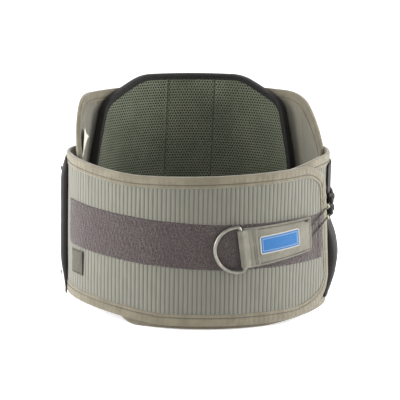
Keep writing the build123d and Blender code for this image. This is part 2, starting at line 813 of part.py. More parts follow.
for side_name, side in (("left", -1), ("right", 1)):
    levels = pulley_levels(side_name)
    base_face = housing_plane(side, BASE_THICKNESS)
    bar_face = housing_plane(side, BASE_THICKNESS + BAR_LIFT)
    middle = across(side, (HOUSING_OUTER - HOUSING_INNER) / 2)
    axle_spots = [(0, z - HOUSING_MID_Z) for z in levels]
    post_height = HOUSING_HEIGHT / 2 - POST_MARGIN
    post_spots = [(0, post_height), (0, -post_height)]

    with BuildPart() as housing_base:
        with BuildSketch(housing_plane(side, 0)):
            with Locations((middle, 0)):
                RectangleRounded(HOUSING_OUTER + HOUSING_INNER, HOUSING_HEIGHT, HOUSING_CORNER)
        extrude(amount=BASE_THICKNESS)
        with BuildSketch(base_face):
            with Locations((across(side, HOUSING_OUTER - 3.5), 0)):
                with GridLocations(0, WALL_SPACING, 1, 2):
                    RectangleRounded(*WALL_SIZE, 1.5)
            with Locations(*post_spots):
                Circle(POST_RADIUS)
        extrude(amount=BAR_LIFT)
        if side > 0:
            with BuildSketch(base_face):
                Rectangle(*FAIRLEAD_SIZE)
            extrude(amount=FAIRLEAD_HEIGHT)
            for level in PULL_LEVELS:
                bore = housing_plane(side, BASE_THICKNESS + FAIRLEAD_CORD_LIFT, level)
                with BuildSketch(Plane(origin=bore.origin - bore.x_dir * 10, z_dir=bore.x_dir)):
                    Circle(FAIRLEAD_BORE)
                extrude(amount=20, mode=Mode.SUBTRACT)
        else:
            with BuildSketch(base_face):
                anchors = [(across(side, ANCHOR_DISTANCE), z - HOUSING_MID_Z) for z in ANCHOR_LEVELS]
                with Locations(*anchors):
                    RectangleRounded(*ANCHOR_SIZE, 1.0)
            extrude(amount=BAR_LIFT - 0.2)
        with BuildSketch(base_face):
            with Locations(*axle_spots):
                Circle(AXLE_RADIUS)
        extrude(amount=-BASE_THICKNESS, mode=Mode.SUBTRACT)
    save(housing_base, f"{side_name}_housing_base")

    with BuildPart() as housing_bar:
        with BuildSketch(bar_face):
            RectangleRounded(BAR_WIDTH, HOUSING_HEIGHT, 3.5)
            with Locations(*axle_spots):
                Circle(AXLE_RADIUS, mode=Mode.SUBTRACT)
            if side > 0:
                Rectangle(BAR_WIDTH + 1, 21.0, mode=Mode.SUBTRACT)
        extrude(amount=BASE_THICKNESS)
    save(housing_bar, f"{side_name}_housing_bar")

    with BuildPart() as axles:
        for spot in axle_spots:
            with BuildSketch(housing_plane(side, 0)):
                with Locations(spot):
                    Circle(AXLE_RADIUS)
            extrude(amount=2 * BASE_THICKNESS + BAR_LIFT)
            with BuildSketch(housing_plane(side, 2 * BASE_THICKNESS + BAR_LIFT)):
                with Locations(spot):
                    Circle(AXLE_HEAD_RADIUS)
            extrude(amount=AXLE_HEAD_HEIGHT)
    save(axles, f"{side_name}_axles")

    with BuildPart() as bar_screws:
        with BuildSketch(housing_plane(side, 2 * BASE_THICKNESS + BAR_LIFT)):
            with Locations(*post_spots):
                Circle(SCREW_RADIUS)
        extrude(amount=SCREW_HEIGHT)
        with BuildSketch(housing_plane(side, 2 * BASE_THICKNESS + BAR_LIFT + SCREW_HEIGHT)):
            with Locations(*post_spots):
                RegularPolygon(SOCKET_RADIUS, 6)
        extrude(amount=-SOCKET_DEPTH, mode=Mode.SUBTRACT)
    save(bar_screws, f"{side_name}_bar_screws")

    for number, level in enumerate(levels, start=1):
        low_face = BASE_THICKNESS + PULLEY_LIFT - PULLEY_THICKNESS / 2
        with BuildPart() as pulley:
            with BuildSketch(housing_plane(side, low_face, level)):
                Circle(PULLEY_RADIUS)
                Circle(AXLE_RADIUS + AXLE_PLAY, mode=Mode.SUBTRACT)
            extrude(amount=PULLEY_THICKNESS)
            groove_low = BASE_THICKNESS + PULLEY_LIFT - GROOVE_WIDTH / 2
            with BuildSketch(housing_plane(side, groove_low, level)):
                Circle(PULLEY_RADIUS + 1)
                Circle(GROOVE_RADIUS, mode=Mode.SUBTRACT)
            extrude(amount=GROOVE_WIDTH, mode=Mode.SUBTRACT)
        save(pulley, f"{side_name}_pulley_{number}")

# ---------------------------------------------------------------- cords


def corner_radii(points):
    """For each corner of a route, the largest arc its two runs allow."""
    radii = []
    for before, here, after in zip(points, points[1:], points[2:]):
        run_in = Vector(here) - Vector(before)
        run_out = Vector(after) - Vector(here)
        half_turn = radians(run_in.get_angle(run_out)) / 2
        radii.append(0.45 * min(run_in.length, run_out.length) / tan(half_turn))
    return radii


def cord_tube(points):
    """A cord along a route of straight runs and tangent arcs; returns its length."""
    start = Vector(points[0])
    with BuildLine() as route:
        if len(points) > 2:
            FilletPolyline(*points, radius=corner_radii(points))
        else:
            Line(*points)
    with BuildSketch(Plane(origin=start, z_dir=Vector(points[1]) - start)) as section:
        Circle(CORD_RADIUS)
    sweep(section.sketch, path=route.wire())
    return route.wire().length


def housing_point(side, distance, lift, z):
    """A point on a housing: distance outwards from the axle line, lift above the base."""
    plane = housing_plane(side, lift, z)
    return tuple(plane.from_local_coords(Vector(across(side, distance), 0, 0)))


def strand_levels(side_name):
    """The heights at which lacing strands meet the pulleys of one side."""
    return sorted({z + turn for z in pulley_levels(side_name) for turn in (-CORD_PITCH, CORD_PITCH)})


def half_strand(side, z):
    """A lacing strand from the belt's middle to a housing's axle line."""
    lift = BASE_THICKNESS + PULLEY_LIFT
    touch_angle = side * 4.3
    return cord_tube(
        [
            back_point(0, PLATE_CORD_OFFSET, z),
            back_point(touch_angle, PLATE_CORD_OFFSET + 0.45, z),
            housing_point(side, -7.0, lift, z),
            housing_point(side, 0.0, lift, z),
        ]
    )


def pulley_wrap(side, z):
    """The half turn of cord on a pulley's outer side."""
    plane = housing_plane(side, BASE_THICKNESS + PULLEY_LIFT, z)
    turned = Plane(origin=plane.origin, x_dir=plane.y_dir * side, z_dir=plane.z_dir)
    with Locations(turned.location):
        Torus(CORD_PITCH, CORD_RADIUS, major_angle=180, align=None)


def between(first, second, fraction):
    """A point on the run from one point of a route to the next."""
    return tuple(Vector(first) + (Vector(second) - Vector(first)) * fraction)


# Angle and offset of each bend over the right gusset, and the angles of those along the side
REAR_BENDS = ((34.0, -2.6), (41.0, -2.4), (48.0, -0.6))
SIDE_BENDS = (-19.0, -7.0, 5.0, 17.0, 29.0)


def rear_route(level):
    """Where a pull cord bends over the right gusset, from the housing round to the side."""
    return [back_point(angle, offset_out, level) for angle, offset_out in REAR_BENDS]


def side_route(level):
    """Where a pull cord bends along the right side, from the front to the rear."""
    return [side_point(angle, SIDE_CORD_OFFSET, level) for angle in SIDE_BENDS]


def side_rear_split(level):
    """Where a pull cord leaves its sleeve."""
    return between(side_route(level)[-1], rear_route(level)[-1], 0.5)


cord_lengths = {}

for side_name, side in (("left", -1), ("right", 1)):
    with BuildPart() as lacing:
        length = 0.0
        for level in strand_levels(side_name):
            length += half_strand(side, level)
        for level in pulley_levels(side_name):
            pulley_wrap(side, level)
            length += pi * CORD_PITCH
        if side < 0:
            for level in ANCHOR_LEVELS:
                length += half_strand(side, level)
        else:
            for level in PULL_LEVELS:
                lift = BASE_THICKNESS + FAIRLEAD_CORD_LIFT
                length += cord_tube(
                    [
                        back_point(0, PLATE_CORD_OFFSET, level),
                        back_point(4.3, PLATE_CORD_OFFSET + 0.45, level),
                        housing_point(side, -5.5, lift, level),
                        housing_point(side, 5.0, lift, level),
                        housing_point(side, HOUSING_OUTER + 2.5, BASE_THICKNESS + 1.8, level),
                        *rear_route(level),
                        side_rear_split(level),
                    ]
                )
    cord_lengths[f"lacing_{side_name}"] = length
    save(lacing, f"lacing_{side_name}")

TAB_ENDS = ((121.2, 109.5), (122.0, 96.5))
EDGE_CROSSINGS = ((137.0, 122.0), (137.0, 109.0))
TAB_END_OFFSET = 6.4
CROSSING_OFFSET = 5.7
FLAP_SPLIT = 0.65
GUIDE_SPLIT = 0.5
GUIDE = (RIGHT_SHEET[1] + 0.1, 6.4)


def front_point(spot, offset):
    """A point over the front, from its (x, z) and its offset."""
    return (spot[0], front_y(spot[0], offset), spot[1])


GUIDE_Y = (-38.0, -29.0)
GUIDE_BORE = 1.5

with BuildPart() as cord_guide:
    add(side_block(GUIDE, *SLEEVE_Z, GUIDE_Y, 1))
    for crossing, level in zip(EDGE_CROSSINGS, PULL_LEVELS):
        corner = Vector(front_point(crossing, CROSSING_OFFSET))
        entry = Vector(side_route(level)[0])
        with BuildSketch(Plane(origin=corner, z_dir=entry - corner)):
            Circle(GUIDE_BORE)
        extrude(amount=(entry - corner).length + 6, mode=Mode.SUBTRACT)
save(cord_guide, "cord_guide")

with BuildPart() as pull_cords_run:
    for tab_end, crossing in zip(TAB_ENDS, EDGE_CROSSINGS):
        start = front_point(tab_end, TAB_END_OFFSET)
        flap_split = between(start, front_point(crossing, CROSSING_OFFSET), FLAP_SPLIT)
        cord_lengths[f"run {crossing[1]}"] = cord_tube([start, flap_split])
save(pull_cords_run, "pull_cords_run")

with BuildPart() as pull_cords_lead:
    for tab_end, crossing, level in zip(TAB_ENDS, EDGE_CROSSINGS, PULL_LEVELS):
        corner = front_point(crossing, CROSSING_OFFSET)
        flap_split = between(front_point(tab_end, TAB_END_OFFSET), corner, FLAP_SPLIT)
        guide_split = between(corner, side_route(level)[0], GUIDE_SPLIT)
        cord_lengths[f"lead {level}"] = cord_tube([flap_split, corner, guide_split])
save(pull_cords_lead, "pull_cords_lead")

with BuildPart() as pull_cords_side:
    for crossing, level in zip(EDGE_CROSSINGS, PULL_LEVELS):
        corner = front_point(crossing, CROSSING_OFFSET)
        guide_split = between(corner, side_route(level)[0], GUIDE_SPLIT)
        cord_lengths[f"side {level}"] = cord_tube([guide_split, *side_route(level), side_rear_split(level)])
save(pull_cords_side, "pull_cords_side")

for name, length in cord_lengths.items():
    print(f"cord {name}: {length:.1f} mm")
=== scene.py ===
"""Looks of a lumbar support belt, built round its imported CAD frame.

The belt runs round a four-centre oval. Fabric is laid out in three numbers, in millimetres:
s, the arc length round the oval from the front's middle, towards +X; z, the height; and t,
the offset outwards from the oval. plan() turns them into points of the row frame, in metres.
"""

import math

import bpy
import numpy as np
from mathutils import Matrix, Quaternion, Vector


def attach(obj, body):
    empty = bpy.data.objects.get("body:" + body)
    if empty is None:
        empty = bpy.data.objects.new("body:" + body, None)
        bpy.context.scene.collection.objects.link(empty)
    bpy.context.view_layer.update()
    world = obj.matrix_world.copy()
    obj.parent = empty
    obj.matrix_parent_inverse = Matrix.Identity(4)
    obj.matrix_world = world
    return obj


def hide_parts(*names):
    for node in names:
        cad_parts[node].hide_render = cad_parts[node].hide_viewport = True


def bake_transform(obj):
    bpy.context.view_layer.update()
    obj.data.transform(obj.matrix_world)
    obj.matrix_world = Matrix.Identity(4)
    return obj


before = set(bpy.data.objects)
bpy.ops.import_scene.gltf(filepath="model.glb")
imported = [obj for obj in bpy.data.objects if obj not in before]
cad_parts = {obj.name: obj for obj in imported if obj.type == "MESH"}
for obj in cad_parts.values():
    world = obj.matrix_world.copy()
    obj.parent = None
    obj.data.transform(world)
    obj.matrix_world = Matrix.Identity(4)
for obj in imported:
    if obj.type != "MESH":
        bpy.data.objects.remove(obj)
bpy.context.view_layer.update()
scene = bpy.context.scene
MM = 0.001

# ---------------------------------------------------------------- camera

VIEW_TARGET = Vector((-0.0003, 0.0053, 0.1227))
VIEW_DISTANCE = 2.35
VIEW_AZIMUTH = math.radians(-4.0)
VIEW_PITCH = math.radians(12.0)
VIEW_ROLL = math.radians(1.0)

camera_data = bpy.data.cameras.new("camera")
camera_data.lens = 182.7
camera_data.sensor_width = 36.0
camera_data.clip_start = 0.1
camera_data.clip_end = 20.0
camera = bpy.data.objects.new("camera", camera_data)
scene.collection.objects.link(camera)
view_back = Vector(
    (
        math.sin(VIEW_AZIMUTH) * math.cos(VIEW_PITCH),
        -math.cos(VIEW_AZIMUTH) * math.cos(VIEW_PITCH),
        math.sin(VIEW_PITCH),
    )
)
camera.location = VIEW_TARGET + view_back * VIEW_DISTANCE
level_view = (-view_back).to_track_quat("-Z", "Y")
camera.rotation_euler = (level_view @ Quaternion((0, 0, 1), VIEW_ROLL)).to_euler()
scene.camera = camera

# ---------------------------------------------------------------- plan of the belt

SIDE_X = 66.0
FACE_Y = 49.5
SR = 85.0
FR = SR + math.hypot(SIDE_X, FACE_Y)
ARC = math.atan2(SIDE_X, FACE_Y)
S1 = FR * ARC
S2 = S1 + SR * (math.pi - 2 * ARC)
S3 = S2 + S1
PLAN_Y = 5.3


def turn(s):
    """Direction of the oval's outward normal at s, in radians from -Y towards +X."""
    s = (np.asarray(s, float) + S3) % (2 * S3) - S3
    u = np.abs(s)
    side = ARC + (u - S1) / SR
    back = math.pi - ARC + (u - S2) / FR
    return np.sign(s) * np.where(u < S1, u / FR, np.where(u < S2, side, back))


def plan(s, t, z):
    """Points at arc length s, offset t and height z, in metres."""
    s, t, z = np.broadcast_arrays(np.asarray(s, float), t, z)
    a = turn(s)
    on_side = (np.abs(a) > ARC) & (np.abs(a) < math.pi - ARC)
    radius = np.where(on_side, SR, FR) + t
    x = np.where(on_side, np.sign(a) * SIDE_X, 0.0) + radius * np.sin(a)
    y = np.where(on_side, 0.0, np.where(np.abs(a) <= ARC, FACE_Y, -FACE_Y)) - radius * np.cos(a)
    return np.stack((x, y + PLAN_Y, z), -1) * MM


def outward(s):
    """Unit outward normals at s."""
    a = turn(s)
    return np.stack((np.sin(a), -np.cos(a), np.zeros_like(a)), -1)


def s_of_turn(a):
    """Arc length where the outward normal has turned by a from -Y."""
    u = np.abs(a)
    side = S1 + SR * (u - ARC)
    back = S2 + FR * (u - math.pi + ARC)
    return np.sign(a) * np.where(u < ARC, FR * u, np.where(u < math.pi - ARC, side, back))


def s_front(x, t=0.0):
    """Arc length at x on the front half."""
    x = np.asarray(x, float)
    face = np.arcsin(np.clip(np.abs(x) / (FR + t), 0, 1))
    side = np.arcsin(np.clip((np.abs(x) - SIDE_X) / (SR + t), -1, 1))
    return np.sign(x) * s_of_turn(np.where(face <= ARC, face, side))


def s_back(x, t=0.0):
    """Arc length at x on the back half, rising from the right side to the left."""
    return S3 - s_front(x, t)


def s_side(y, t=0.0):
    """Arc length at plan depth y on the right side or the back's right half."""
    y = np.asarray(y, float)
    side = np.arccos(np.clip(-y / (SR + t), -1, 1))
    front = np.arccos(np.clip((FACE_Y - y) / (FR + t), -1, 1))
    back = np.arccos(np.clip(-(y + FACE_Y) / (FR + t), -1, 1))
    return s_of_turn(np.where(side < ARC, front, np.where(side > math.pi - ARC, back, side)))


def x_at(s, t=0.0):
    """X of the oval at s, in millimetres."""
    return plan(s, t, 0.0)[..., 0] / MM


def y_at(s, t=0.0):
    """Plan depth of the oval at s, in millimetres."""
    return plan(s, t, 0.0)[..., 1] / MM - PLAN_Y


def smooth(x, low, high):
    """0 below low, 1 above high, an even curve between."""
    w = np.clip((np.asarray(x, float) - low) / (high - low), 0, 1)
    return w * w * (3 - 2 * w)


def rolled(distance, radius):
    """0 at an edge, 1 from radius inwards, round like a rolled edge."""
    return np.sqrt(np.clip(1 - (1 - np.clip(distance / radius, 0, 1)) ** 2, 0, 1))


def ripple(x, y, size, seed):
    """Smooth noise of about -1 to 1, with waves about size long."""
    rng = np.random.default_rng(seed)
    total = 0.0
    for _ in range(7):
        a = rng.uniform(0, 2 * math.pi)
        f = 2 * math.pi / size * rng.uniform(0.6, 1.7)
        total = total + np.sin(f * (x * math.cos(a) + y * math.sin(a)) + rng.uniform(0, 6.3))
    return total / 3.2


def resample(points, step):
    """Points about step apart along a polyline."""
    points = np.asarray(points, float)
    along = np.concatenate([[0], np.cumsum(np.linalg.norm(np.diff(points, axis=0), axis=1))])
    wanted = np.linspace(0, along[-1], max(2, round(along[-1] / step) + 1))
    return np.stack([np.interp(wanted, along, points[:, k]) for k in range(points.shape[1])], -1)


def rounded(corners, closed=False, arc_points=14):
    """A polyline through (a, b, radius) corners, each rounded to its radius."""
    corners = [np.array(c, float) for c in corners]
    if closed:
        corners = [corners[-1], *corners, corners[0]]
    made = [] if closed else [corners[0][:2]]
    for before, here, after in zip(corners, corners[1:], corners[2:]):
        if here[2] <= 0:
            made.append(here[:2])
            continue
        one = (before - here)[:2] / np.linalg.norm((before - here)[:2])
        two = (after - here)[:2] / np.linalg.norm((after - here)[:2])
        half = math.acos(float(np.clip(one @ two, -1, 1))) / 2
        middle = (one + two) / np.linalg.norm(one + two)
        centre = here[:2] + middle * here[2] / math.sin(half)
        first = here[:2] + one * here[2] / math.tan(half) - centre
        last = here[:2] + two * here[2] / math.tan(half) - centre
        a0 = math.atan2(first[1], first[0])
        sweep = (math.atan2(last[1], last[0]) - a0 + math.pi) % (2 * math.pi) - math.pi
        for k in range(arc_points + 1):
            a = a0 + sweep * k / arc_points
            made.append(centre + here[2] * np.array((math.cos(a), math.sin(a))))
    made.append(made[0] if closed else corners[-1][:2])
    return np.array(made)


def spans(path):
    """The low and high heights of a closed (s, z) path, as functions of s."""
    path = path[:-1]
    left, right = np.argmin(path[:, 0]), np.argmax(path[:, 0])
    one = np.roll(path, -left, axis=0)[: (right - left) % len(path) + 1]
    two = np.roll(path, -right, axis=0)[: (left - right) % len(path) + 1][::-1]
    if one[:, 1].mean() > two[:, 1].mean():
        one, two = two, one
    return (
        lambda s: np.interp(s, np.maximum.accumulate(one[:, 0]), one[:, 1]),
        lambda s: np.interp(s, np.maximum.accumulate(two[:, 0]), two[:, 1]),
    )


# ---------------------------------------------------------------- materials


class Shader:
    """A Principled material whose sockets are filled by short calls. Patterns are in millimetres."""

    def __init__(self, name, **fixed):
        self.material = bpy.data.materials.new(name)
        self.material.use_nodes = True
        self.tree = self.material.node_tree
        self.bsdf = self.tree.nodes["Principled BSDF"]
        for key, value in fixed.items():
            self.put(self.bsdf.inputs[key.replace("_", " ")], value)

    def put(self, socket, value):
        """Links another node's socket, or sets a constant."""
        if isinstance(value, bpy.types.NodeSocket):
            self.tree.links.new(value, socket)
        else:
            socket.default_value = value

    def node(self, kind, out, settings, inputs):
        """Adds a node with its settings and inputs, and gives back one of its outputs."""
        made = self.tree.nodes.new("ShaderNode" + kind)
        for key, value in settings.items():
            setattr(made, key, value)
        for key, value in inputs.items():
            self.put(made.inputs[key], value)
        return made.outputs[out]

    def math(self, operation, a, b=0.0, clamp=False):
        return self.node("Math", 0, {"operation": operation, "use_clamp": clamp}, {0: a, 1: b})

    def part(self, share, most):
        """A share, scaled so that it reaches at most this much."""
        return self.math("MULTIPLY", share, most)

    def cloth(self):
        """The piece's own pattern coordinates, as a vector and as its three numbers."""
        vector = self.node("Attribute", "Vector", {"attribute_name": "cloth"}, {})
        return (vector, *self.split(vector))

    def solid(self):
        """The row frame's coordinates, in millimetres, for rigid pieces."""
        place = self.node("TexCoord", "Object", {}, {})
        vector = self.node("VectorMath", 0, {"operation": "SCALE"}, {0: place, "Scale": 1 / MM})
        return (vector, *self.split(vector))

    def split(self, vector):
        made = self.tree.nodes.new("ShaderNodeSeparateXYZ")
        self.tree.links.new(vector, made.inputs[0])
        return made.outputs[0], made.outputs[1], made.outputs[2]

    def wave(self, coordinate, pitch, shift=0.0):
        """0 to 1 and back once each pitch."""
        angle = self.line(coordinate, 2 * math.pi / pitch, shift)
        return self.line(self.math("SINE", angle), 0.5, 0.5)

    def line(self, value, slope, start):
        """start plus slope times value."""
        settings = {"operation": "MULTIPLY_ADD"}
        return self.node("Math", 0, settings, {0: value, 1: slope, 2: start})

    def noise(self, vector, size, detail=2.0, stretch=None):
        """Noise with patches about size across, finer where stretch is over 1."""
        if stretch is not None:
            vector = self.node("VectorMath", 0, {"operation": "MULTIPLY"}, {0: vector, 1: stretch})
        return self.node("TexNoise", 0, {}, {"Vector": vector, "Scale": 1 / size, "Detail": detail})

    def steps(self, value, low, high):
        """0 below low, 1 above high."""
        return self.node(
            "MapRange",
            0,
            {"interpolation_type": "SMOOTHSTEP"},
            {"Value": value, "From Min": low, "From Max": high},
        )

    def mix(self, share, a, b):
        """Colour a where share is 0, and b where it is 1."""
        return self.node("Mix", 2, {"data_type": "RGBA"}, {0: share, 6: shade(a), 7: shade(b)})

    def finish(self, colour, rough, height=None, depth=0.3):
        """Sets colour and roughness, and bump of that depth in millimetres."""
        self.put(self.bsdf.inputs["Base Color"], shade(colour))
        self.put(self.bsdf.inputs["Roughness"], rough)
        if height is not None:
            ways = {"Height": height, "Distance": depth * MM, "Strength": 1.0}
            bump = self.node("Bump", 0, {}, ways)
            self.put(self.bsdf.inputs["Normal"], bump)
        return self.material


def shade(colour):
    """A 0 to 255 display colour as the linear colour that a shader takes; sockets stay sockets."""
    if not isinstance(colour, tuple):
        return colour
    scaled = [c / 255 for c in colour]
    linear = [c / 12.92 if c < 0.04045 else ((c + 0.055) / 1.055) ** 2.4 for c in scaled]
    return (*linear, 1.0)


RIB_PITCH = 5.0


def elastic(name, rib, groove, dark):
    """Ribbed elastic: raised ribs, a dotted groove between them and a fine cross knit; groove and dots
    take painted shade.
    """
    m = Shader(name, Sheen_Weight=0.25, Sheen_Roughness=0.5, Specular_IOR_Level=0.25)
    vector, s, z, _ = m.cloth()
    across = m.wave(s, RIB_PITCH, -math.pi / 2)
    narrow = m.steps(across, 0.0, 0.32)
    dots = m.wave(z, 2.1)
    dotted = m.math("MULTIPLY", m.math("SUBTRACT", 1.0, narrow), m.steps(dots, 0.2, 0.75))
    knit = m.math("MULTIPLY", m.wave(z, 1.05), m.wave(s, 1.25))
    fibre = m.noise(vector, 0.5, 3.0, (1.0, 2.2, 1.0))
    wide = m.noise(vector, 26.0, 2.0)
    # Groove colour, and the dark dots sunk into the groove, are painted shade in the recesses
    base = m.mix(narrow, groove, rib)
    base = m.mix(m.part(dotted, 0.85), base, dark)
    base = m.mix(m.part(m.steps(fibre, 0.35, 0.75), 0.22), base, dark)
    base = m.mix(m.part(m.steps(wide, 0.35, 0.7), 0.16), base, groove)
    height = m.math("ADD", m.math("MULTIPLY", knit, 0.45), m.math("MULTIPLY", fibre, 0.5))
    height = m.math("SUBTRACT", height, m.math("MULTIPLY", dotted, 0.9))
    rough = m.line(fibre, 0.2, 0.72)
    return m.finish(base, rough, height, 0.35)


def tape(name, middle, light, dark, sheen=0.3):
    """Woven edge binding: a fine diagonal twill with a few worn spots."""
    m = Shader(name, Sheen_Weight=sheen, Sheen_Roughness=0.45, Specular_IOR_Level=0.3)
    vector, u, d, _ = m.cloth()
    twill = m.wave(m.math("ADD", u, m.math("MULTIPLY", d, 0.8)), 0.95)
    weft = m.wave(d, 0.8)
    fibre = m.noise(vector, 0.45, 3.0, (1.6, 1.0, 1.0))
    wide = m.noise(vector, 14.0, 2.0)
    base = m.mix(m.steps(wide, 0.3, 0.7), middle, dark)
    base = m.mix(m.part(m.steps(twill, 0.3, 0.9), 0.35), base, light)
    base = m.mix(m.part(m.steps(fibre, 0.45, 0.75), 0.3), base, light)
    height = m.math("ADD", m.math("MULTIPLY", twill, 0.6), m.math("MULTIPLY", weft, 0.25))
    height = m.math("ADD", height, m.math("MULTIPLY", fibre, 0.4))
    rough = m.line(fibre, 0.25, 0.62)
    return m.finish(base, rough, height, 0.22)


def loop_pile():
    """Brushed loop tape: a tangle of fine loops, with a painted highlight on their tops and painted
    shade between.
    """
    m = Shader("loop_pile", Sheen_Weight=0.35, Sheen_Roughness=0.4, Specular_IOR_Level=0.15)
    vector, s, z, _ = m.cloth()
    tangle = m.noise(vector, 1.5, 4.0)
    fine = m.noise(vector, 0.55, 3.0)
    wide = m.noise(vector, 30.0, 2.0)
    loops = m.node("TexVoronoi", 0, {}, {"Vector": vector, "Scale": 1 / 1.3})
    # The noise that raises the loops paints them pale where high and dark where low: painted highlight
    # and painted shade
    base = m.mix(m.steps(tangle, 0.34, 0.66), (48, 42, 41), (82, 75, 73))
    base = m.mix(m.part(m.steps(fine, 0.5, 0.72), 0.75), base, (124, 118, 115))
    # Dark rims round the Voronoi cells: painted shade between the loops
    base = m.mix(m.part(m.steps(loops, 0.25, 0.75), 0.45), base, (48, 40, 41))
    base = m.mix(m.part(m.steps(wide, 0.42, 0.68), 0.25), base, (62, 50, 54))
    height = m.math("ADD", m.math("MULTIPLY", tangle, 1.0), m.math("MULTIPLY", fine, 0.7))
    return m.finish(base, 0.95, height, 0.8)


def spacer():
    """Spacer mesh: the attribute 'hole' is 1 in an open cell and 0 on the knitted lattice; open cells
    get painted shade.
    """
    m = Shader("spacer_mesh", Sheen_Weight=0.15, Sheen_Roughness=0.5, Specular_IOR_Level=0.3)
    vector, s, z, _ = m.cloth()
    hole = m.node("Attribute", "Fac", {"attribute_name": "hole"}, {})
    yarn = m.noise(vector, 0.4, 3.0, (1.0, 1.8, 1.0))
    wide = m.noise(vector, 40.0, 2.0)
    lit = m.mix(m.steps(wide, 0.3, 0.7), (96, 100, 82), (82, 87, 70))
    # Open cells take a near-black painted shade over the lattice's lit colour
    base = m.mix(m.steps(hole, 0.25, 0.7), lit, (30, 33, 25))
    base = m.mix(m.part(m.steps(yarn, 0.45, 0.75), 0.35), base, (38, 42, 32))
    height = m.math("ADD", yarn, m.math("MULTIPLY", m.wave(z, 0.9), 0.5))
    return m.finish(base, 0.8, height, 0.15)


def lining(name, middle, dark):
    """Brushed lining with faint upright lines and soft shading where it has been handled."""
    m = Shader(name, Sheen_Weight=0.35, Sheen_Roughness=0.5, Specular_IOR_Level=0.2)
    vector, s, z, _ = m.cloth()
    lines = m.steps(m.wave(s, 2.4), 0.1, 0.7)
    streak = m.noise(vector, 3.0, 3.0, (1.0, 0.12, 1.0))
    wide = m.noise(vector, 34.0, 2.0)
    fibre = m.noise(vector, 0.5, 3.0)
    base = m.mix(m.part(lines, 0.55), dark, middle)
    base = m.mix(m.part(m.steps(streak, 0.4, 0.7), 0.35), base, dark)
    base = m.mix(m.part(m.steps(wide, 0.4, 0.7), 0.3), base, dark)
    height = m.math("ADD", m.math("MULTIPLY", lines, 0.8), m.math("MULTIPLY", fibre, 0.6))
    return m.finish(base, 0.9, height, 0.25)


def webbing(name, middle, light, dark):
    """Flat webbing: rows of small picks across its length."""
    m = Shader(name, Sheen_Weight=0.3, Sheen_Roughness=0.4, Specular_IOR_Level=0.3)
    vector, u, d, _ = m.cloth()
    rows = m.wave(u, 0.85)
    picks = m.wave(m.math("ADD", d, m.math("MULTIPLY", m.steps(rows, 0.4, 0.6), 0.6)), 1.2)
    fibre = m.noise(vector, 0.5, 3.0, (1.0, 2.0, 1.0))
    wide = m.noise(vector, 18.0, 2.0)
    base = m.mix(m.steps(wide, 0.3, 0.7), middle, dark)
    base = m.mix(m.math("MULTIPLY", m.math("MULTIPLY", rows, picks), 0.4), base, light)
    base = m.mix(m.part(m.steps(fibre, 0.5, 0.75), 0.25), base, light)
    height = m.math("ADD", m.math("MULTIPLY", rows, picks), m.math("MULTIPLY", fibre, 0.5))
    return m.finish(base, 0.78, height, 0.25)


def thread(name, colour, dark):
    """Twisted sewing thread or braided cord: slanted strands, with painted shade between them."""
    m = Shader(name, Sheen_Weight=0.2, Sheen_Roughness=0.4, Specular_IOR_Level=0.3)
    vector, u, d, _ = m.cloth()
    one = m.wave(m.math("ADD", u, d), 1.1)
    two = m.wave(m.math("SUBTRACT", u, d), 1.1)
    strands = m.math("MAXIMUM", one, two)
    # Dark where the strand pattern is low: painted shade between the strands
    base = m.mix(m.steps(strands, 0.25, 0.8), dark, colour)
    return m.finish(base, 0.7, strands, 0.15)


def plastic(name, colour, worn, rough, grain, depth=0.06, **fixed):
    """Moulded plastic with a fine grain, faint flow marks and slight polish where it is handled."""
    m = Shader(name, Specular_IOR_Level=0.22, **fixed)
    vector, x, y, z = m.solid()
    cells = m.node("TexVoronoi", 0, {}, {"Vector": vector, "Scale": 1 / grain})
    fine = m.noise(vector, grain * 0.6, 3.0)
    wide = m.noise(vector, 22.0, 3.0)
    base = m.mix(m.part(m.steps(wide, 0.35, 0.75), 0.6), colour, worn)
    base = m.mix(m.part(m.steps(fine, 0.55, 0.8), 0.3), base, worn)
    roughness = m.line(wide, 0.22, rough)
    height = m.math("ADD", m.math("MULTIPLY", cells, 0.8), m.math("MULTIPLY", fine, 0.6))
    return m.finish(base, roughness, height, depth)


def metal(name, colour, rough, **fixed):
    """Plated or brushed metal with fine scratches and dull patches."""
    m = Shader(name, Metallic=1.0, **fixed)
    vector, x, y, z = m.solid()
    scratch = m.noise(vector, 0.8, 4.0, (1.0, 1.0, 6.0))
    dull = m.noise(vector, 6.0, 3.0)
    base = m.mix(m.steps(dull, 0.4, 0.7), colour, tuple(c * 0.86 for c in colour))
    roughness = m.line(dull, 0.22, rough)
    return m.finish(base, roughness, scratch, 0.02)


def badge_weave():
    """Plain blue woven badge with a pale edge; the third pattern number is the way to its edge."""
    m = Shader("badge_weave", Sheen_Weight=0.25, Sheen_Roughness=0.4, Specular_IOR_Level=0.3)
    vector, u, d, edge = m.cloth()
    twill = m.wave(m.math("ADD", u, d), 0.8)
    field = m.mix(m.part(twill, 0.5), (22, 82, 138), (48, 112, 164))
    rim = m.math("SUBTRACT", 1.0, m.steps(edge, 1.3, 1.7))
    line = m.math("MULTIPLY", m.steps(edge, 3.0, 3.2), m.math("SUBTRACT", 1.0, m.steps(edge, 3.9, 4.1)))
    base = m.mix(rim, field, (152, 150, 143))
    base = m.mix(m.part(line, 0.8), base, (120, 140, 154))
    return m.finish(base, 0.75, m.math("ADD", twill, rim), 0.2)


def hook_tape():
    """Moulded hook tape: glossy black stems on a matt backing, painted darker at the roots and lighter
    to the tips.
    """
    m = Shader("hook_tape", Specular_IOR_Level=0.5)
    vector, u, d, up = m.cloth()
    # Colour by height above the backing: painted shade on the backing and stem roots, painted highlight
    # towards the tips
    base = m.mix(m.steps(up, 0.3, 0.9), (22, 22, 21), (58, 57, 54))
    fine = m.noise(vector, 0.6, 3.0)
    return m.finish(base, 0.42, fine, 0.08)


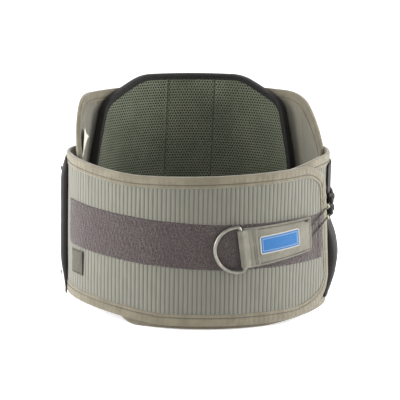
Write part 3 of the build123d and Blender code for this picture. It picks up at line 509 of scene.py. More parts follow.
ELASTIC = elastic("elastic_ribs", (103, 102, 92), (86, 85, 76), (66, 65, 58))
BINDING = tape("taupe_binding", (100, 94, 78), (124, 118, 101), (86, 80, 65))
STITCH = thread("taupe_thread", (60, 56, 46), (38, 35, 29))
PILE = loop_pile()
SPACER = spacer()
LINING = lining("back_lining", (122, 119, 105), (92, 89, 78))
BLACK_BINDING = tape("black_binding", (12, 11, 9), (25, 23, 19), (6, 6, 5), 0.04)
BLACK_STITCH = thread("black_thread", (14, 13, 11), (6, 6, 5))
WEBBING = webbing("tab_webbing", (104, 101, 90), (128, 124, 112), (89, 86, 76))
TAB_STITCH = thread("tab_thread", (56, 52, 43), (36, 34, 28))
BADGE = badge_weave()
LABEL = webbing("label_cloth", (236, 232, 220), (246, 244, 236), (224, 219, 205))
SIZE_CLOTH = webbing("size_cloth", (62, 58, 45), (80, 76, 61), (44, 41, 31))
CORD = thread("braided_cord", (40, 38, 33), (16, 15, 13))
SHELL = plastic("shell_plastic", (14, 12, 9), (24, 21, 16), 0.5, 0.9)
HOUSING = plastic("housing_plastic", (20, 20, 20), (36, 36, 35), 0.32, 0.7)
PLATE = plastic("plate_plastic", (44, 44, 43), (60, 60, 58), 0.42, 1.2, 0.05)
NYLON = plastic("pulley_nylon", (214, 211, 198), (196, 190, 172), 0.25, 0.8, 0.03)
STAY = plastic("stay_plastic", (58, 58, 56), (74, 74, 71), 0.45, 1.0)
GUIDE = plastic("guide_plastic", (150, 144, 124), (134, 128, 108), 0.4, 0.8)
STEEL = metal("nickel_wire", (128, 126, 117), 0.28)
RIVET = metal("rivet_steel", (158, 156, 150), 0.34)
DARK_RIVET = metal("dark_rivet", (52, 48, 42), 0.4)
HOOKS = hook_tape()

# ---------------------------------------------------------------- mesh tools


class Parts:
    """Collects quads of one piece, each group with its own material, and builds the mesh."""

    def __init__(self):
        self.points, self.faces, self.cloth, self.slots, self.holes = [], [], [], [], []
        self.materials = []
        self.count = 0

    def add(self, points, faces, cloth, material, hole=None):
        """Adds points with their pattern coordinates, and faces that count from the first of them."""
        points = np.asarray(points, float).reshape(-1, 3)
        if material not in self.materials:
            self.materials.append(material)
        self.points.append(points)
        self.faces.append(np.asarray(faces) + self.count)
        self.cloth.append(np.asarray(cloth, float).reshape(-1, 3))
        self.holes.append(np.zeros(len(points)) if hole is None else np.ravel(hole))
        self.slots.append(np.full(len(faces), self.materials.index(material)))
        self.count += len(points)

    def build(self, name, *, body=None, blend=None, slot=None, replaces=(), holes=False):
        """Makes the mesh and the object, ties it to its body, and bakes its placement into the mesh
        when a blend is given.
        """
        mesh = bpy.data.meshes.new(name)
        points = np.concatenate(self.points)
        faces = np.concatenate(self.faces)
        mesh.vertices.add(len(points))
        mesh.vertices.foreach_set("co", points.astype(np.float32).ravel())
        mesh.loops.add(faces.size)
        mesh.loops.foreach_set("vertex_index", faces.astype(np.int32).ravel())
        mesh.polygons.add(len(faces))
        mesh.polygons.foreach_set("loop_start", np.arange(0, faces.size, 4, dtype=np.int32))
        mesh.polygons.foreach_set("material_index", np.concatenate(self.slots).astype(np.int32))
        mesh.update(calc_edges=True)
        mesh.validate()
        mesh.polygons.foreach_set("use_smooth", np.ones(len(mesh.polygons), bool))
        cloth = mesh.attributes.new("cloth", "FLOAT_VECTOR", "POINT")
        cloth.data.foreach_set("vector", np.concatenate(self.cloth).astype(np.float32).ravel())
        if holes:
            attribute = mesh.attributes.new("hole", "FLOAT", "POINT")
            attribute.data.foreach_set("value", np.concatenate(self.holes).astype(np.float32))
        for material in self.materials:
            mesh.materials.append(material)
        made = bpy.data.objects.new(name, mesh)
        scene.collection.objects.link(made)
        if body:
            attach(made, body)
        if blend:
            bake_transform(made)
        if replaces:
            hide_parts(*replaces)
        return made


def grid_faces(rows, columns, wrap_rows=False, wrap_columns=False, flip=False, start=0):
    """Quads of a rows by columns grid of points."""
    i = np.arange(rows if wrap_rows else rows - 1)
    j = np.arange(columns if wrap_columns else columns - 1)
    i, j = np.meshgrid(i, j, indexing="ij")
    i2, j2 = (i + 1) % rows, (j + 1) % columns
    quads = np.stack((i * columns + j, i2 * columns + j, i2 * columns + j2, i * columns + j2), -1)
    quads = quads.reshape(-1, 4) + start
    return quads[:, ::-1] if flip else quads


def slab_faces(rows, columns):
    """Quads of a closed sheet: an outer grid, an inner grid and the rim between them."""
    size = rows * columns
    outer = grid_faces(rows, columns)
    inner = grid_faces(rows, columns, flip=True, start=size)
    index = np.arange(size).reshape(rows, columns)
    rim = np.concatenate((index[0, :-1], index[:-1, -1], index[-1, :0:-1], index[:0:-1, 0]))
    after = np.roll(rim, -1)
    walls = np.stack((rim, after, after + size, rim + size), -1)
    return np.concatenate((outer, inner, walls))


def slab(parts, s, z, outer, inner, material, hole=None):
    """A closed sheet between two offsets over a grid of (s, z); hole marks its inner face."""
    s, z, outer, inner = np.broadcast_arrays(s, z, outer, inner)
    points = np.concatenate((plan(s, outer, z).reshape(-1, 3), plan(s, inner, z).reshape(-1, 3)))
    cloth = np.concatenate([np.stack((s, z, t), -1).reshape(-1, 3) for t in (outer, inner)])
    holes = None if hole is None else np.concatenate((np.zeros(s.size), np.ravel(hole)))
    parts.add(points, slab_faces(*s.shape), cloth, material, holes)


# Along a stitch, as shares of its length and of its radius: places, thickness and rise
STITCH_REACH = (-0.5, -0.42, -0.2, 0.2, 0.42, 0.5)
STITCH_GIRTH = (0.25, 0.8, 1.0, 1.0, 0.8, 0.25)
STITCH_LIFT = (-0.9, -0.2, 0.35, 0.35, -0.2, -0.9)
STITCH_FLAT = 1.2
STITCH_PATTERN = 1.6


def threads(parts, centres, along, normals, length, radius, material):
    """Sewn stitches: short bowed strands that dip into the cloth at both ends."""
    reach = np.array(STITCH_REACH) * length
    girth = np.array(STITCH_GIRTH) * radius
    lift = np.array(STITCH_LIFT) * radius
    a = np.arange(6) * math.pi / 3
    side = np.cross(along, normals)
    here = centres[:, None, None, :]
    points = (
        here
        + along[:, None, None, :] * reach[None, :, None, None]
        + normals[:, None, None, :]
        * (lift[:, None] + girth[:, None] * np.sin(a)[None, :])[None, :, :, None]
        + side[:, None, None, :] * (girth[:, None] * np.cos(a)[None, :] * STITCH_FLAT)[None, :, :, None]
    )
    one = grid_faces(6, 6, wrap_columns=True)
    caps = np.array(((0, 1, 2, 3), (0, 3, 4, 5), (33, 32, 31, 30), (35, 34, 33, 30)))
    one = np.concatenate((one, caps))
    faces = (one[None] + np.arange(len(centres))[:, None, None] * 36).reshape(-1, 4)
    u = np.broadcast_to(reach[None, :, None] / MM, points.shape[:3])
    v = np.broadcast_to((a * radius / MM)[None, None, :], points.shape[:3])
    cloth = np.stack((u * STITCH_PATTERN, v * STITCH_PATTERN, np.zeros_like(u)), -1)
    parts.add(points, faces, cloth, material)


def sew(parts, path, offset, material, pitch=3.0, length=2.1, radius=0.42, inside=False):
    """A line of stitches along an (s, z) path on the surface at an offset."""
    spots = resample(path, pitch)
    step = np.gradient(spots, axis=0)
    step /= np.linalg.norm(step, axis=1)[:, None]
    centres = plan(spots[:, 0], offset, spots[:, 1])
    ahead = plan(spots[:, 0] + step[:, 0] * 0.5, offset, spots[:, 1] + step[:, 1] * 0.5)
    along = ahead - centres
    along /= np.linalg.norm(along, axis=1)[:, None]
    normals = outward(spots[:, 0]) * (-1 if inside else 1)
    threads(parts, centres, along, normals, length * MM, radius * MM, material)


def inward_of(path, closed):
    """Unit vectors across a path, to its right."""
    if closed:
        around = np.concatenate((path[-2:-1], path, path[1:2]))
        step = (around[2:] - around[:-2]) / 2
    else:
        step = np.gradient(path, axis=0)
    step /= np.maximum(np.linalg.norm(step, axis=1), 1e-9)[:, None]
    return np.stack((step[:, 1], -step[:, 0]), -1)


# Across a binding, from its inner edge to its fold: shares of its width, and of its rise. The
# stitch line takes the place of None.
FOLD_SHARES = (1.0, 0.985, 0.93, 0.85, 0.77, 0.72, None, 0.66, 0.6, 0.45, 0.28, 0.14, 0.05, 0.0)
FOLD_RISES = (-0.15, 0.45, 0.8, 0.85, 0.7, 0.4, 0.2, 0.4, 0.8, 1.0, 1.0, 0.92, 0.6, 0.15)
FOLD_OVERHANG = -0.02
FOLD_BULGE = 0.2
WANDER = 0.12
INNER_PUCKER = 0.25


def binding(
    parts,
    path,
    layer,
    width,
    material,
    stitch_material,
    closed=False,
    lift=(0.9, 0.6),
    pucker=None,
    stitch_at=0.69,
    step=1.3,
):
    """Edge binding folded over a sheet's edge, with a rounded fold, a sewn groove and a ridge."""
    path = resample(path, step)
    inward = inward_of(path, closed)
    if closed:
        path, inward = path[:-1], inward[:-1]
    share = np.array([stitch_at if value is None else value for value in FOLD_SHARES])
    rise = np.array(FOLD_RISES)
    d = np.concatenate((share, (FOLD_OVERHANG,), share[::-1])) * width
    middle = sum(layer) / 2
    outer_t = layer[1] + rise * lift[0]
    inner_t = layer[0] - rise[::-1] * lift[1]
    t = np.concatenate((outer_t, (middle,), inner_t))
    u = np.arange(len(path)) * step
    s = path[:, :1] + inward[:, :1] * d
    z = path[:, 1:] + inward[:, 1:] * d
    bulge = np.clip(np.concatenate((rise, (FOLD_BULGE,), rise[::-1])), 0, 1)
    side = np.where(np.arange(len(d)) < len(share), 1.0, -1.0)
    wander = WANDER * ripple(u[:, None], d * 1.5, 22.0, 5) * bulge
    t = t + side * wander * (0.6 if lift[1] < 0.5 else 1.0)
    if pucker is not None:
        t = t + pucker(u[:, None], d, s, z) * bulge * np.where(side > 0, 1.0, INNER_PUCKER)
    points = plan(s, t, z)
    cloth = np.stack((np.broadcast_to(u[:, None], s.shape), np.broadcast_to(d, s.shape), t), -1)
    faces = grid_faces(len(path), len(d), wrap_rows=closed, wrap_columns=True)
    if not closed:
        count = len(d)
        last = (len(path) - 1) * count
        half = len(share)
        ends = []
        for k in range(half):
            quad = (k, k + 1, count - 2 - k, count - 1 - k)
            if quad[1] < quad[2]:
                ends.append(quad[::-1])
                ends.append(tuple(last + q for q in quad))
        faces = np.concatenate((faces, np.array(ends)))
    parts.add(points, faces, cloth, material)
    line = path + inward * width * stitch_at
    if closed:
        line = np.concatenate((line, line[:1]))
    sew(parts, line, layer[1] + 0.35 * lift[0], stitch_material)
    sew(parts, line, layer[0] - 0.35 * lift[1], stitch_material, inside=True, radius=0.32)


# ---------------------------------------------------------------- layers and outlines

FLAP = (-1.1, 2.5)
WING = (-6.2, -2.8)
BACK = (-11.8, -7.5)
TAB = (5.2, 7.8)
BINDING_WIDTH = 13.0
EDGE = 0.8
SIZE_OF_GRID = 0.62

# Offsets at which each layer's edge is measured, and the spacing of the points along an edge
FLAP_T, WING_T, BACK_T, PAD_T = 0.7, -4.5, -9.65, -20.0
PATH_STEP = 2.0

# Front flap: a top that climbs to the right, edges that rise at the left, a slanted right end
FLAP_END_X = 134.0
FLAP_TOP, FLAP_CLIMB = 171.6, 6.4
TOP_TURN_X, TOP_RISE, TOP_RISE_RUN, TOP_CURVE = -75.0, 13.0, 95.0, 1.7
FLAP_BOTTOM = 4.6
LOW_TURN_X, LOW_RISE, LOW_RISE_RUN, LOW_CURVE = -50.0, 16.0, 120.0, 1.15
HIGH_CORNER, LOW_CORNER = 24.0, 42.0
END_SLANT, END_SLANT_TOP, END_SLANT_RUN = 21.0, 178.0, 90.0

# Right wing: a level left part and a top that rises to the right
WING_TOP, WING_RISE, WING_RISE_X, WING_RISE_RUN, WING_CURVE = 162.0, 21.0, 10.0, 120.0, 1.3
WING_LOW_RISE, WING_LOW_X, WING_LOW_RUN = 14.0, 70.0, 150.0
WING_END_X, WING_CORNER = -97.0, 22.0

# Back panel, seen from the side: upright borders, the left one's Y and how far back the right is
BORDER_Y, BORDER_SHIFT = -21.0, 26.0
BORDER_BOTTOM, BORDER_TOP, BACK_TOP = 11.0, 178.0, 241.0
BOTTOM_TURN_Y, SLOPE_RUN = 52.0, 48.0
BORDER_CORNER, TOP_CORNER = 14.0, 35.0

WING_REAR_Y = 44.0
LEFT_REAR = -float(s_side(WING_REAR_Y, FLAP_T))
RIGHT_REAR = float(s_side(WING_REAR_Y, WING_T))
HINGE = Vector((-0.153582, -0.0067, 0.09))


def flap_high(x):
    """Height of the flap's top edge at x."""
    climb = np.clip((x - TOP_TURN_X) / (FLAP_END_X - TOP_TURN_X), 0, 1)
    rise = np.clip((TOP_TURN_X - x) / TOP_RISE_RUN, 0, 1) ** TOP_CURVE
    return FLAP_TOP + FLAP_CLIMB * climb + TOP_RISE * rise


def flap_low(x):
    """Height of the flap's bottom edge at x."""
    return FLAP_BOTTOM + LOW_RISE * np.clip((LOW_TURN_X - x) / LOW_RISE_RUN, 0, 1) ** LOW_CURVE


def along_edge(s, height, t):
    """The (s, z) points of an edge whose height depends on x."""
    return np.stack((s, height(x_at(s, t))), -1)


def corner(x, z, radius, first, last, t):
    """The (s, z) points of a rounded corner about (x, z), on the front."""
    a = np.radians(np.linspace(first, last, 16))
    return np.stack((s_front(x + radius * np.cos(a), t), z + radius * np.sin(a)), -1)


def flap_path():
    """The flap's edge with the left wing's, from the wing's rear along the top and back."""
    high_x, low_x = FLAP_END_X - HIGH_CORNER, FLAP_END_X - LOW_CORNER
    high_s, low_s = s_front(high_x, FLAP_T), s_front(low_x, FLAP_T)
    path = np.concatenate(
        (
            along_edge(np.arange(LEFT_REAR, high_s, PATH_STEP), flap_high, FLAP_T),
            corner(high_x, flap_high(high_x) - HIGH_CORNER, HIGH_CORNER, 90, 0, FLAP_T),
            corner(low_x, flap_low(low_x) + LOW_CORNER, LOW_CORNER, 0, -90, FLAP_T),
            along_edge(np.arange(low_s, LEFT_REAR, -PATH_STEP), flap_low, FLAP_T),
            ((LEFT_REAR, flap_low(x_at(LEFT_REAR, FLAP_T))),),
        )
    )
    share = np.clip((END_SLANT_TOP - path[:, 1]) / END_SLANT_RUN, 0, 1)
    slanted = smooth(path[:, 0], s_front(low_x - 20, FLAP_T), s_front(FLAP_END_X, FLAP_T))
    path[:, 0] += END_SLANT * share * slanted
    return path


def wing_high(x):
    """Height of the right wing's top edge at x."""
    return WING_TOP + WING_RISE * np.clip((x - WING_RISE_X) / WING_RISE_RUN, 0, 1) ** WING_CURVE


def wing_low(x):
    """Height of the right wing's bottom edge at x."""
    return WING_LOW_RISE * np.clip((x - WING_LOW_X) / WING_LOW_RUN, 0, 1)


def wing_path():
    """The right wing's edge, from its rear along the bottom, round its end and back."""
    turn_x = WING_END_X + WING_CORNER
    turn_s = s_front(turn_x, WING_T)
    return np.concatenate(
        (
            along_edge(np.arange(RIGHT_REAR, turn_s, -PATH_STEP), wing_low, WING_T),
            corner(turn_x, WING_CORNER, WING_CORNER, -90, -180, WING_T),
            corner(turn_x, WING_TOP - WING_CORNER, WING_CORNER, 180, 90, WING_T),
            along_edge(np.arange(turn_s, RIGHT_REAR, PATH_STEP), wing_high, WING_T),
            ((RIGHT_REAR, wing_high(x_at(RIGHT_REAR, WING_T))),),
        )
    )


def back_path():
    """The back panel's edge: up its right border, along the top and down its left border."""
    far = 90.0
    halves = []
    for shift in (BORDER_SHIFT, 0.0):
        border = BORDER_Y + shift
        outline = rounded(
            (
                (far, 0, 0),
                (BOTTOM_TURN_Y + shift, 0, 0),
                (border, BORDER_BOTTOM, BORDER_CORNER),
                (border, BORDER_TOP, BORDER_CORNER),
                (border + SLOPE_RUN, BACK_TOP, TOP_CORNER),
                (far, BACK_TOP, 0),
            )
        )
        halves.append(np.stack((s_side(outline[:, 0], BACK_T), outline[:, 1]), -1))
    left = halves[1][::-1] * (-1, 1) + (2 * S3, 0)
    return np.concatenate((halves[0], left, halves[0][:1]))


PAD_CORNERS = ((78, 7, 45), (113, 48, 60), (119, 150, 200), (105.5, 228.5, 28), (60, 256, 45))
PAD_SHIFT = -6.0


def pad_path():
    """The pad's edge: up its right side, along the top and down its left side."""
    right = list(PAD_CORNERS)
    left = [(-x, z, r) for x, z, r in reversed(right)]
    outline = rounded(right + left, closed=True)
    return np.stack((s_back(outline[:, 0] + PAD_SHIFT, PAD_T), outline[:, 1]), -1)


TAB_CORNERS = ((42.0, 70.0, 3), (38.0, 116.0, 3), (119.5, 121.0, 3), (122.0, 81.5, 3))


def tab_path(inset=0.0):
    """The pull tab's edge, moved in by an inset."""
    middle = np.mean([c[:2] for c in TAB_CORNERS], axis=0)
    corners = [
        (x - math.copysign(inset, x - middle[0]), z - math.copysign(inset, z - middle[1]), r)
        for x, z, r in TAB_CORNERS
    ]
    outline = rounded(corners, closed=True)
    return np.stack((s_front(outline[:, 0], 6.5), outline[:, 1]), -1)


def strip_mask(s, z):
    """1 under the loop strip, 0 away from it."""
    lift = 11.0 * np.clip((20 - x_at(s, 2.5)) / 170, 0, 1) ** 2
    return smooth(z, 62 + lift, 68 + lift) * (1 - smooth(z, 120 + lift, 126 + lift))


def sway(s, z):
    """How far the worn fabric of the front wanders in and out, in millimetres."""
    waves = 0.34 * ripple(s, z * 0.45, 52.0, 11) + 0.14 * ripple(s * 1.4, z, 17.0, 12)
    waves = waves + 0.5 * np.exp(-(((s + 148 + 0.16 * (z - 150)) / 3.2) ** 2)) * smooth(z, 120, 150)
    return waves * (1 - 0.75 * strip_mask(s, z)) * smooth(z, 0, 14)


def ribs(s, depth):
    """Rib profile: 0 on a rib's top, -depth in the groove."""
    return depth * (np.abs(np.sin(math.pi * s / RIB_PITCH)) ** 0.55 - 1)


def panel_grid(path, margin, step=SIZE_OF_GRID, rows=60, low=None, high=None):
    """A grid of (s, z) that fills a closed path, a margin inside it."""
    under, over = spans(path)
    first = path[:, 0].min() + margin if low is None else low
    last = path[:, 0].max() - margin if high is None else high
    s = np.linspace(first, last, round((last - first) / step))[:, None]
    v = np.linspace(0, 1, rows)[None, :]
    bottom, top = under(s) + margin, over(s) - margin
    middle = (bottom + top) / 2
    bottom, top = np.minimum(bottom, middle - 0.05), np.maximum(top, middle + 0.05)
    return np.broadcast_to(s, (len(s), rows)), bottom + v * (top - bottom)


def closed(path):
    """The path with its first point again at its end."""
    return np.concatenate((path, path[:1]))


# ---------------------------------------------------------------- front flap and left wing

HINGE_REACH = 0.005
TO_FLAP = ("root", "flap", HINGE + Vector((0, HINGE_REACH, 0)), HINGE - Vector((0, HINGE_REACH, 0)))

flap_edge = flap_path()
s, z = panel_grid(closed(flap_edge), EDGE)
parts = Parts()
slab(
    parts,
    s,
    z,
    FLAP[1] - 0.1 + ribs(s, 0.5) + sway(s, z),
    FLAP[0] + 0.25 - 0.5 * ribs(s, 0.4) + sway(s, z) * 0.5,
    ELASTIC,
)
flap_fabric = parts.build(
    "flap_fabric", blend=TO_FLAP, slot="ribbed_elastic", replaces=("front_flap", "left_wing")
)


def flap_pucker(u, d, s, z):
    """Gathers in the flap's binding: soft along its edges, tight and twisted down its right end."""
    end = smooth(s, 146, 156) * smooth(z, 112, 124) * (1 - smooth(z, 160, 168))
    twist = 0.75 * np.sin(2 * math.pi * (z * 1.0 + d * 1.3) / 10.5)
    soft = 0.16 * np.sin(2 * math.pi * u / 6.2 + 1.5 * ripple(u, d, 40.0, 21))
    return soft * smooth(d, 0, 3) + end * twist + sway(s, z) * 0.8


parts = Parts()
binding(parts, flap_edge, FLAP, BINDING_WIDTH, BINDING, STITCH, pucker=flap_pucker, lift=(0.9, 0.55))
flap_binding = parts.build(
    "flap_binding",
    blend=TO_FLAP,
    slot="binding",
    replaces=("front_flap_binding", "left_wing_binding"),
)

# ---------------------------------------------------------------- loop strip

STRIP_LEFT, STRIP_RIGHT = float(s_front(-150, 3)), float(s_front(FLAP_END_X, 3)) + 2.5
STRIP_LOW, STRIP_HIGH = 68.0, 120.0
STRIP_CORNER, STRIP_CORNER_RUN = 7.0, 9.0


def strip_lift(x):
    """How far the loop strip's edges have risen at x, towards its left end."""
    u = np.clip((20 - x) / 170, 0, 1)
    return 11.0 * (0.35 * u + 0.65 * u**2)


s = np.linspace(STRIP_LEFT, STRIP_RIGHT, 520)[:, None]
v = np.linspace(0, 1, 96)[None, :]
x = x_at(s, 3.0)
rng = np.random.default_rng(31)
lower = STRIP_LOW + strip_lift(x) + STRIP_CORNER * (1 - rolled(s - STRIP_LEFT, STRIP_CORNER_RUN))
upper = STRIP_HIGH + strip_lift(x)
lower = lower + 0.35 * ripple(s, 0.0, 2.3, 32)
upper = upper + 0.35 * ripple(s, 9.0, 2.1, 33)
z = lower + v * (upper - lower)
fray = smooth(s, STRIP_RIGHT - 3, STRIP_RIGHT) - 1 + smooth(s, STRIP_LEFT, STRIP_LEFT + 3)
s = s + 0.3 * ripple(z, 0.0, 2.2, 34) * fray
edge = np.minimum(np.minimum(z - lower, upper - z), np.minimum(s - STRIP_LEFT, STRIP_RIGHT - s) + 0.4)
crown = rolled(edge, 1.1)
fuzz = 0.14 * rng.standard_normal(z.shape) + 0.2 * ripple(s, z, 3.4, 35)
over_binding = 0.85 * smooth(s, STRIP_RIGHT - 9.5, STRIP_RIGHT - 7)
outer = 2.45 + crown * (0.85 + fuzz) + sway(s, z) + over_binding
parts = Parts()
slab(parts, s, z, outer, np.full_like(z, 2.0), PILE)
parts.build("loop_pile", body="flap", slot="loop_tape", replaces=("loop_strip",))

# ---------------------------------------------------------------- right wing

wing_edge = wing_path()
s, z = panel_grid(closed(wing_edge), EDGE)
parts = Parts()
slab(
    parts,
    s,
    z,
    WING[1] - 0.1 + ribs(s, 0.45),
    WING[0] + 0.15 - ribs(s, 0.35),
    ELASTIC,
)
wing_fabric = parts.build(
    "right_wing_fabric", body="root", slot="ribbed_elastic", replaces=("right_wing",)
)


def wing_pucker(u, d, s, z):
    """Faint gathers along the right wing's binding."""
    return 0.1 * np.sin(2 * math.pi * u / 6.6 + 1.2 * ripple(u, d, 36.0, 22))


parts = Parts()
binding(
    parts,
    wing_edge,
    WING,
    BINDING_WIDTH,
    BINDING,
    STITCH,
    pucker=wing_pucker,
    lift=(0.5, 0.6),
)
wing_binding = parts.build(
    "right_wing_edge", body="root", slot="binding", replaces=("right_wing_binding",)
)

# ---------------------------------------------------------------- back panel

back_edge = back_path()
s, z = panel_grid(back_edge, EDGE, step=0.8, rows=90)
parts = Parts()
slab(
    parts,
    s,
    z,
    BACK[1] - 0.1 + ribs(s, 0.4),
    BACK[0] + 0.2 + 0.12 * ripple(s, z * 0.4, 30.0, 41) - 0.12 * np.abs(np.sin(math.pi * s / 2.4)),
    LINING,
)
back_fabric = parts.build("back_panel_cloth", body="root", slot="lining", replaces=("back_panel",))


def back_pucker(u, d, s, z):
    """Gathers along the back panel's binding, none at its fold."""
    return 0.14 * np.sin(2 * math.pi * u / 7.1 + 1.5 * ripple(u, d, 44.0, 23)) * smooth(d, 0, 3)


parts = Parts()
binding(
    parts,
    back_edge,
    BACK,
    BINDING_WIDTH,
    BINDING,
    STITCH,
    closed=True,
    pucker=back_pucker,
    lift=(0.6, 0.75),
)
back_binding = parts.build(
    "back_panel_edge", body="root", slot="binding", replaces=("back_panel_binding",)
)

# ---------------------------------------------------------------- gussets


def sheet_between(parts, s_low, s_high, z_low, z_high, outer, inner, material):
    """A flat-edged ribbed sheet over a rectangle of (s, z)."""
    s = np.linspace(s_low, s_high, round((s_high - s_low) / SIZE_OF_GRID))[:, None]
    z = np.linspace(z_low, z_high, 50)[None, :]
    sag = 0.35 * ripple(s, z * 0.4, 38.0, 51)
    slab(parts, s, z, outer - 0.1 + ribs(s, 0.35) + sag, inner + sag - ribs(s, 0.2), material)
    for edge in (z_low + 2.2, z_high - 2.2):
        line = np.stack((np.linspace(s_low + 2, s_high - 2, 40), np.full(40, edge)), -1)
        sew(parts, line, outer + 0.05, STITCH)


GUSSET_T, GUSSET_Z = -4.7, (60.0, 187.0)
gusset_ends = (float(s_side(44.5, GUSSET_T)), float(s_back(76.0, GUSSET_T)))
for side_name, mirror in (("right", 1), ("left", -1)):
    ends = sorted(mirror * s for s in gusset_ends)
    parts = Parts()
    sheet_between(parts, *ends, *GUSSET_Z, -4.1, -5.3, ELASTIC)
    start, end = (Vector(plan(mirror * s, GUSSET_T, sum(GUSSET_Z) / 2)) for s in gusset_ends)
    parts.build(
        side_name + "_gusset_cloth",
        blend=("root", side_name + "_housing", start, end),
        slot="ribbed_elastic",
        replaces=(side_name + "_gusset",),
    )

# ---------------------------------------------------------------- pull tab and ring loop

TILT = math.radians(8.2)
BAR_X, BAR_Z = 39.4, 93.2


def tab_frame(points):
    """(s, z) of points given along and across the tab, from the middle of the ring's bar."""
    points = np.asarray(points, float)
    x = BAR_X + points[..., 0] * math.cos(TILT) - points[..., 1] * math.sin(TILT)
    z = BAR_Z + points[..., 0] * math.sin(TILT) + points[..., 1] * math.cos(TILT)
    return s_front(x, 6.5), z


def edge_distance(s, z, path):
    """How far inside a closed (s, z) path points are."""
    best = np.full(np.broadcast(s, z).shape, 1e9)
    for (a, b), (c, d) in zip(path[:-1], path[1:]):
        length2 = (c - a) ** 2 + (d - b) ** 2
        if length2 < 1e-9:
            continue
        w = np.clip(((s - a) * (c - a) + (z - b) * (d - b)) / length2, 0, 1)
        best = np.minimum(best, np.hypot(s - a - w * (c - a), z - b - w * (d - b)))
    return best


TAB_SEAM_INSET, TAB_SEAM_START = 2.6, 57.0
tab_edge = tab_path()
s, z = panel_grid(tab_edge, 0.02, step=0.45, rows=96)
d = edge_distance(s, z, tab_edge)
seam = np.exp(-(((d - TAB_SEAM_INSET) / 0.55) ** 2)) * smooth(s, 44, 56)
crown = 0.35 * smooth(d, 3.0, 9.0) * smooth(s, 50, 62) * (1 - smooth(s, 108, 118))
outer = TAB[0] + 0.9 + rolled(d, 1.3) * 1.45 - 0.55 * seam + crown
outer = outer + 0.12 * ripple(s, z, 16.0, 61) * rolled(d, 2.0)
parts = Parts()
slab(parts, s, z, outer, TAB[0] + 0.15, WEBBING)
long_edges = []
for low_corner, high_corner in ((1, 2), (0, 3)):
    (x0, z0, _), (x1, z1, _) = TAB_CORNERS[low_corner], TAB_CORNERS[high_corner]
    shift = -TAB_SEAM_INSET if low_corner == 1 else TAB_SEAM_INSET
    slope = (z1 - z0) / (x1 - x0)
    x = np.linspace(TAB_SEAM_START, x1 - 2.8, 60)
    long_edges.append(np.stack((s_front(x, 6.5), z0 + slope * (x - x0) + shift), -1))
short_edge = np.linspace(long_edges[1][-1], long_edges[0][-1], 40)
for line in (*long_edges, short_edge):
    sew(parts, line, TAB[1] - 0.2, TAB_STITCH, pitch=2.6, length=1.8, radius=0.34)
parts.build("pull_tab_webbing", body="tab", slot="tab_webbing", replaces=("pull_tab",))

# The webbing that goes round the ring's bar and back under its own stitching
LOOP_T = 7.9
LOOP_HALF_HEIGHT = 21.3
LOOP_STEP = 0.5
LOOP_SEAMS, LOOP_SEAM_REACH = (14.8, 12.4), 19.5
angles = np.radians(np.arange(75, 286, 7.5))
over = [(17.0 - k, 8.55 + 0.1 * math.sin(k)) for k in range(0, 11)]
line = over + [(3.2 * math.cos(a), LOOP_T + 3.05 * math.sin(a)) for a in angles]
line += [(2.0 + 1.5 * k, 4.85 + 0.12 * k) for k in range(0, 7)]
line = resample(np.array(line), LOOP_STEP)
line_step = np.gradient(line, axis=0)
line_step /= np.linalg.norm(line_step, axis=1)[:, None]
across = np.stack((line_step[:, 1], -line_step[:, 0]), -1)
along_loop = np.arange(len(line)) * LOOP_STEP
v = np.linspace(-LOOP_HALF_HEIGHT, LOOP_HALF_HEIGHT, 90)
thickness = 0.68 * rolled(LOOP_HALF_HEIGHT - np.abs(v), 0.9)[None, :] + 0.02
wave = 0.1 * ripple(along_loop[:, None], v[None, :], 9.0, 62)
seam_groove = 0.35 * np.exp(-(((along_loop[:, None] - 2.2) / 0.6) ** 2))
shape = (len(line), len(v))


def loop_grid(sign):
    """The webbing's outer (1) or inner (-1) face."""
    push = sign * thickness + wave - (seam_groove if sign > 0 else 0)
    across_x = line[:, 0][:, None] - across[:, 0][:, None] * push
    out = line[:, 1][:, None] - across[:, 1][:, None] * push
    loop_s, loop_z = tab_frame(np.stack((across_x, np.broadcast_to(v, shape)), -1))
    return plan(loop_s, out, loop_z)


points = np.concatenate((loop_grid(1).reshape(-1, 3), loop_grid(-1).reshape(-1, 3)))
pattern = np.stack(np.broadcast_arrays(along_loop[:, None], v[None, :], 0.0), -1).reshape(-1, 3)
parts = Parts()
faces = slab_faces(*shape)
parts.add(points, faces, np.concatenate((pattern, pattern)), WEBBING)
for distance in LOOP_SEAMS:
    rows = np.linspace(-LOOP_SEAM_REACH, LOOP_SEAM_REACH, 60)
    seam_line = np.stack(tab_frame([(distance, row) for row in rows]), -1)
    sew(parts, seam_line, 9.15, TAB_STITCH, pitch=2.4, length=1.7, radius=0.34)
parts.build("ring_loop_webbing", body="tab", slot="tab_webbing", replaces=("ring_loop",))

# ---------------------------------------------------------------- woven badge


def tilted_rectangle(middle, size, tilt, radius, t):
    """A rounded rectangle on the front as a closed (s, z) path, clockwise from its lower right."""
    a = math.radians(tilt)
    corners = [
        (
            middle[0] + i * size[0] / 2 * math.cos(a) - j * size[1] / 2 * math.sin(a),
            middle[1] + i * size[0] / 2 * math.sin(a) + j * size[1] / 2 * math.cos(a),
            radius,
        )
        for i, j in ((1, -1), (-1, -1), (-1, 1), (1, 1))
    ]
    outline = rounded(corners, closed=True)
    return np.stack((s_front(outline[:, 0], t), outline[:, 1]), -1)


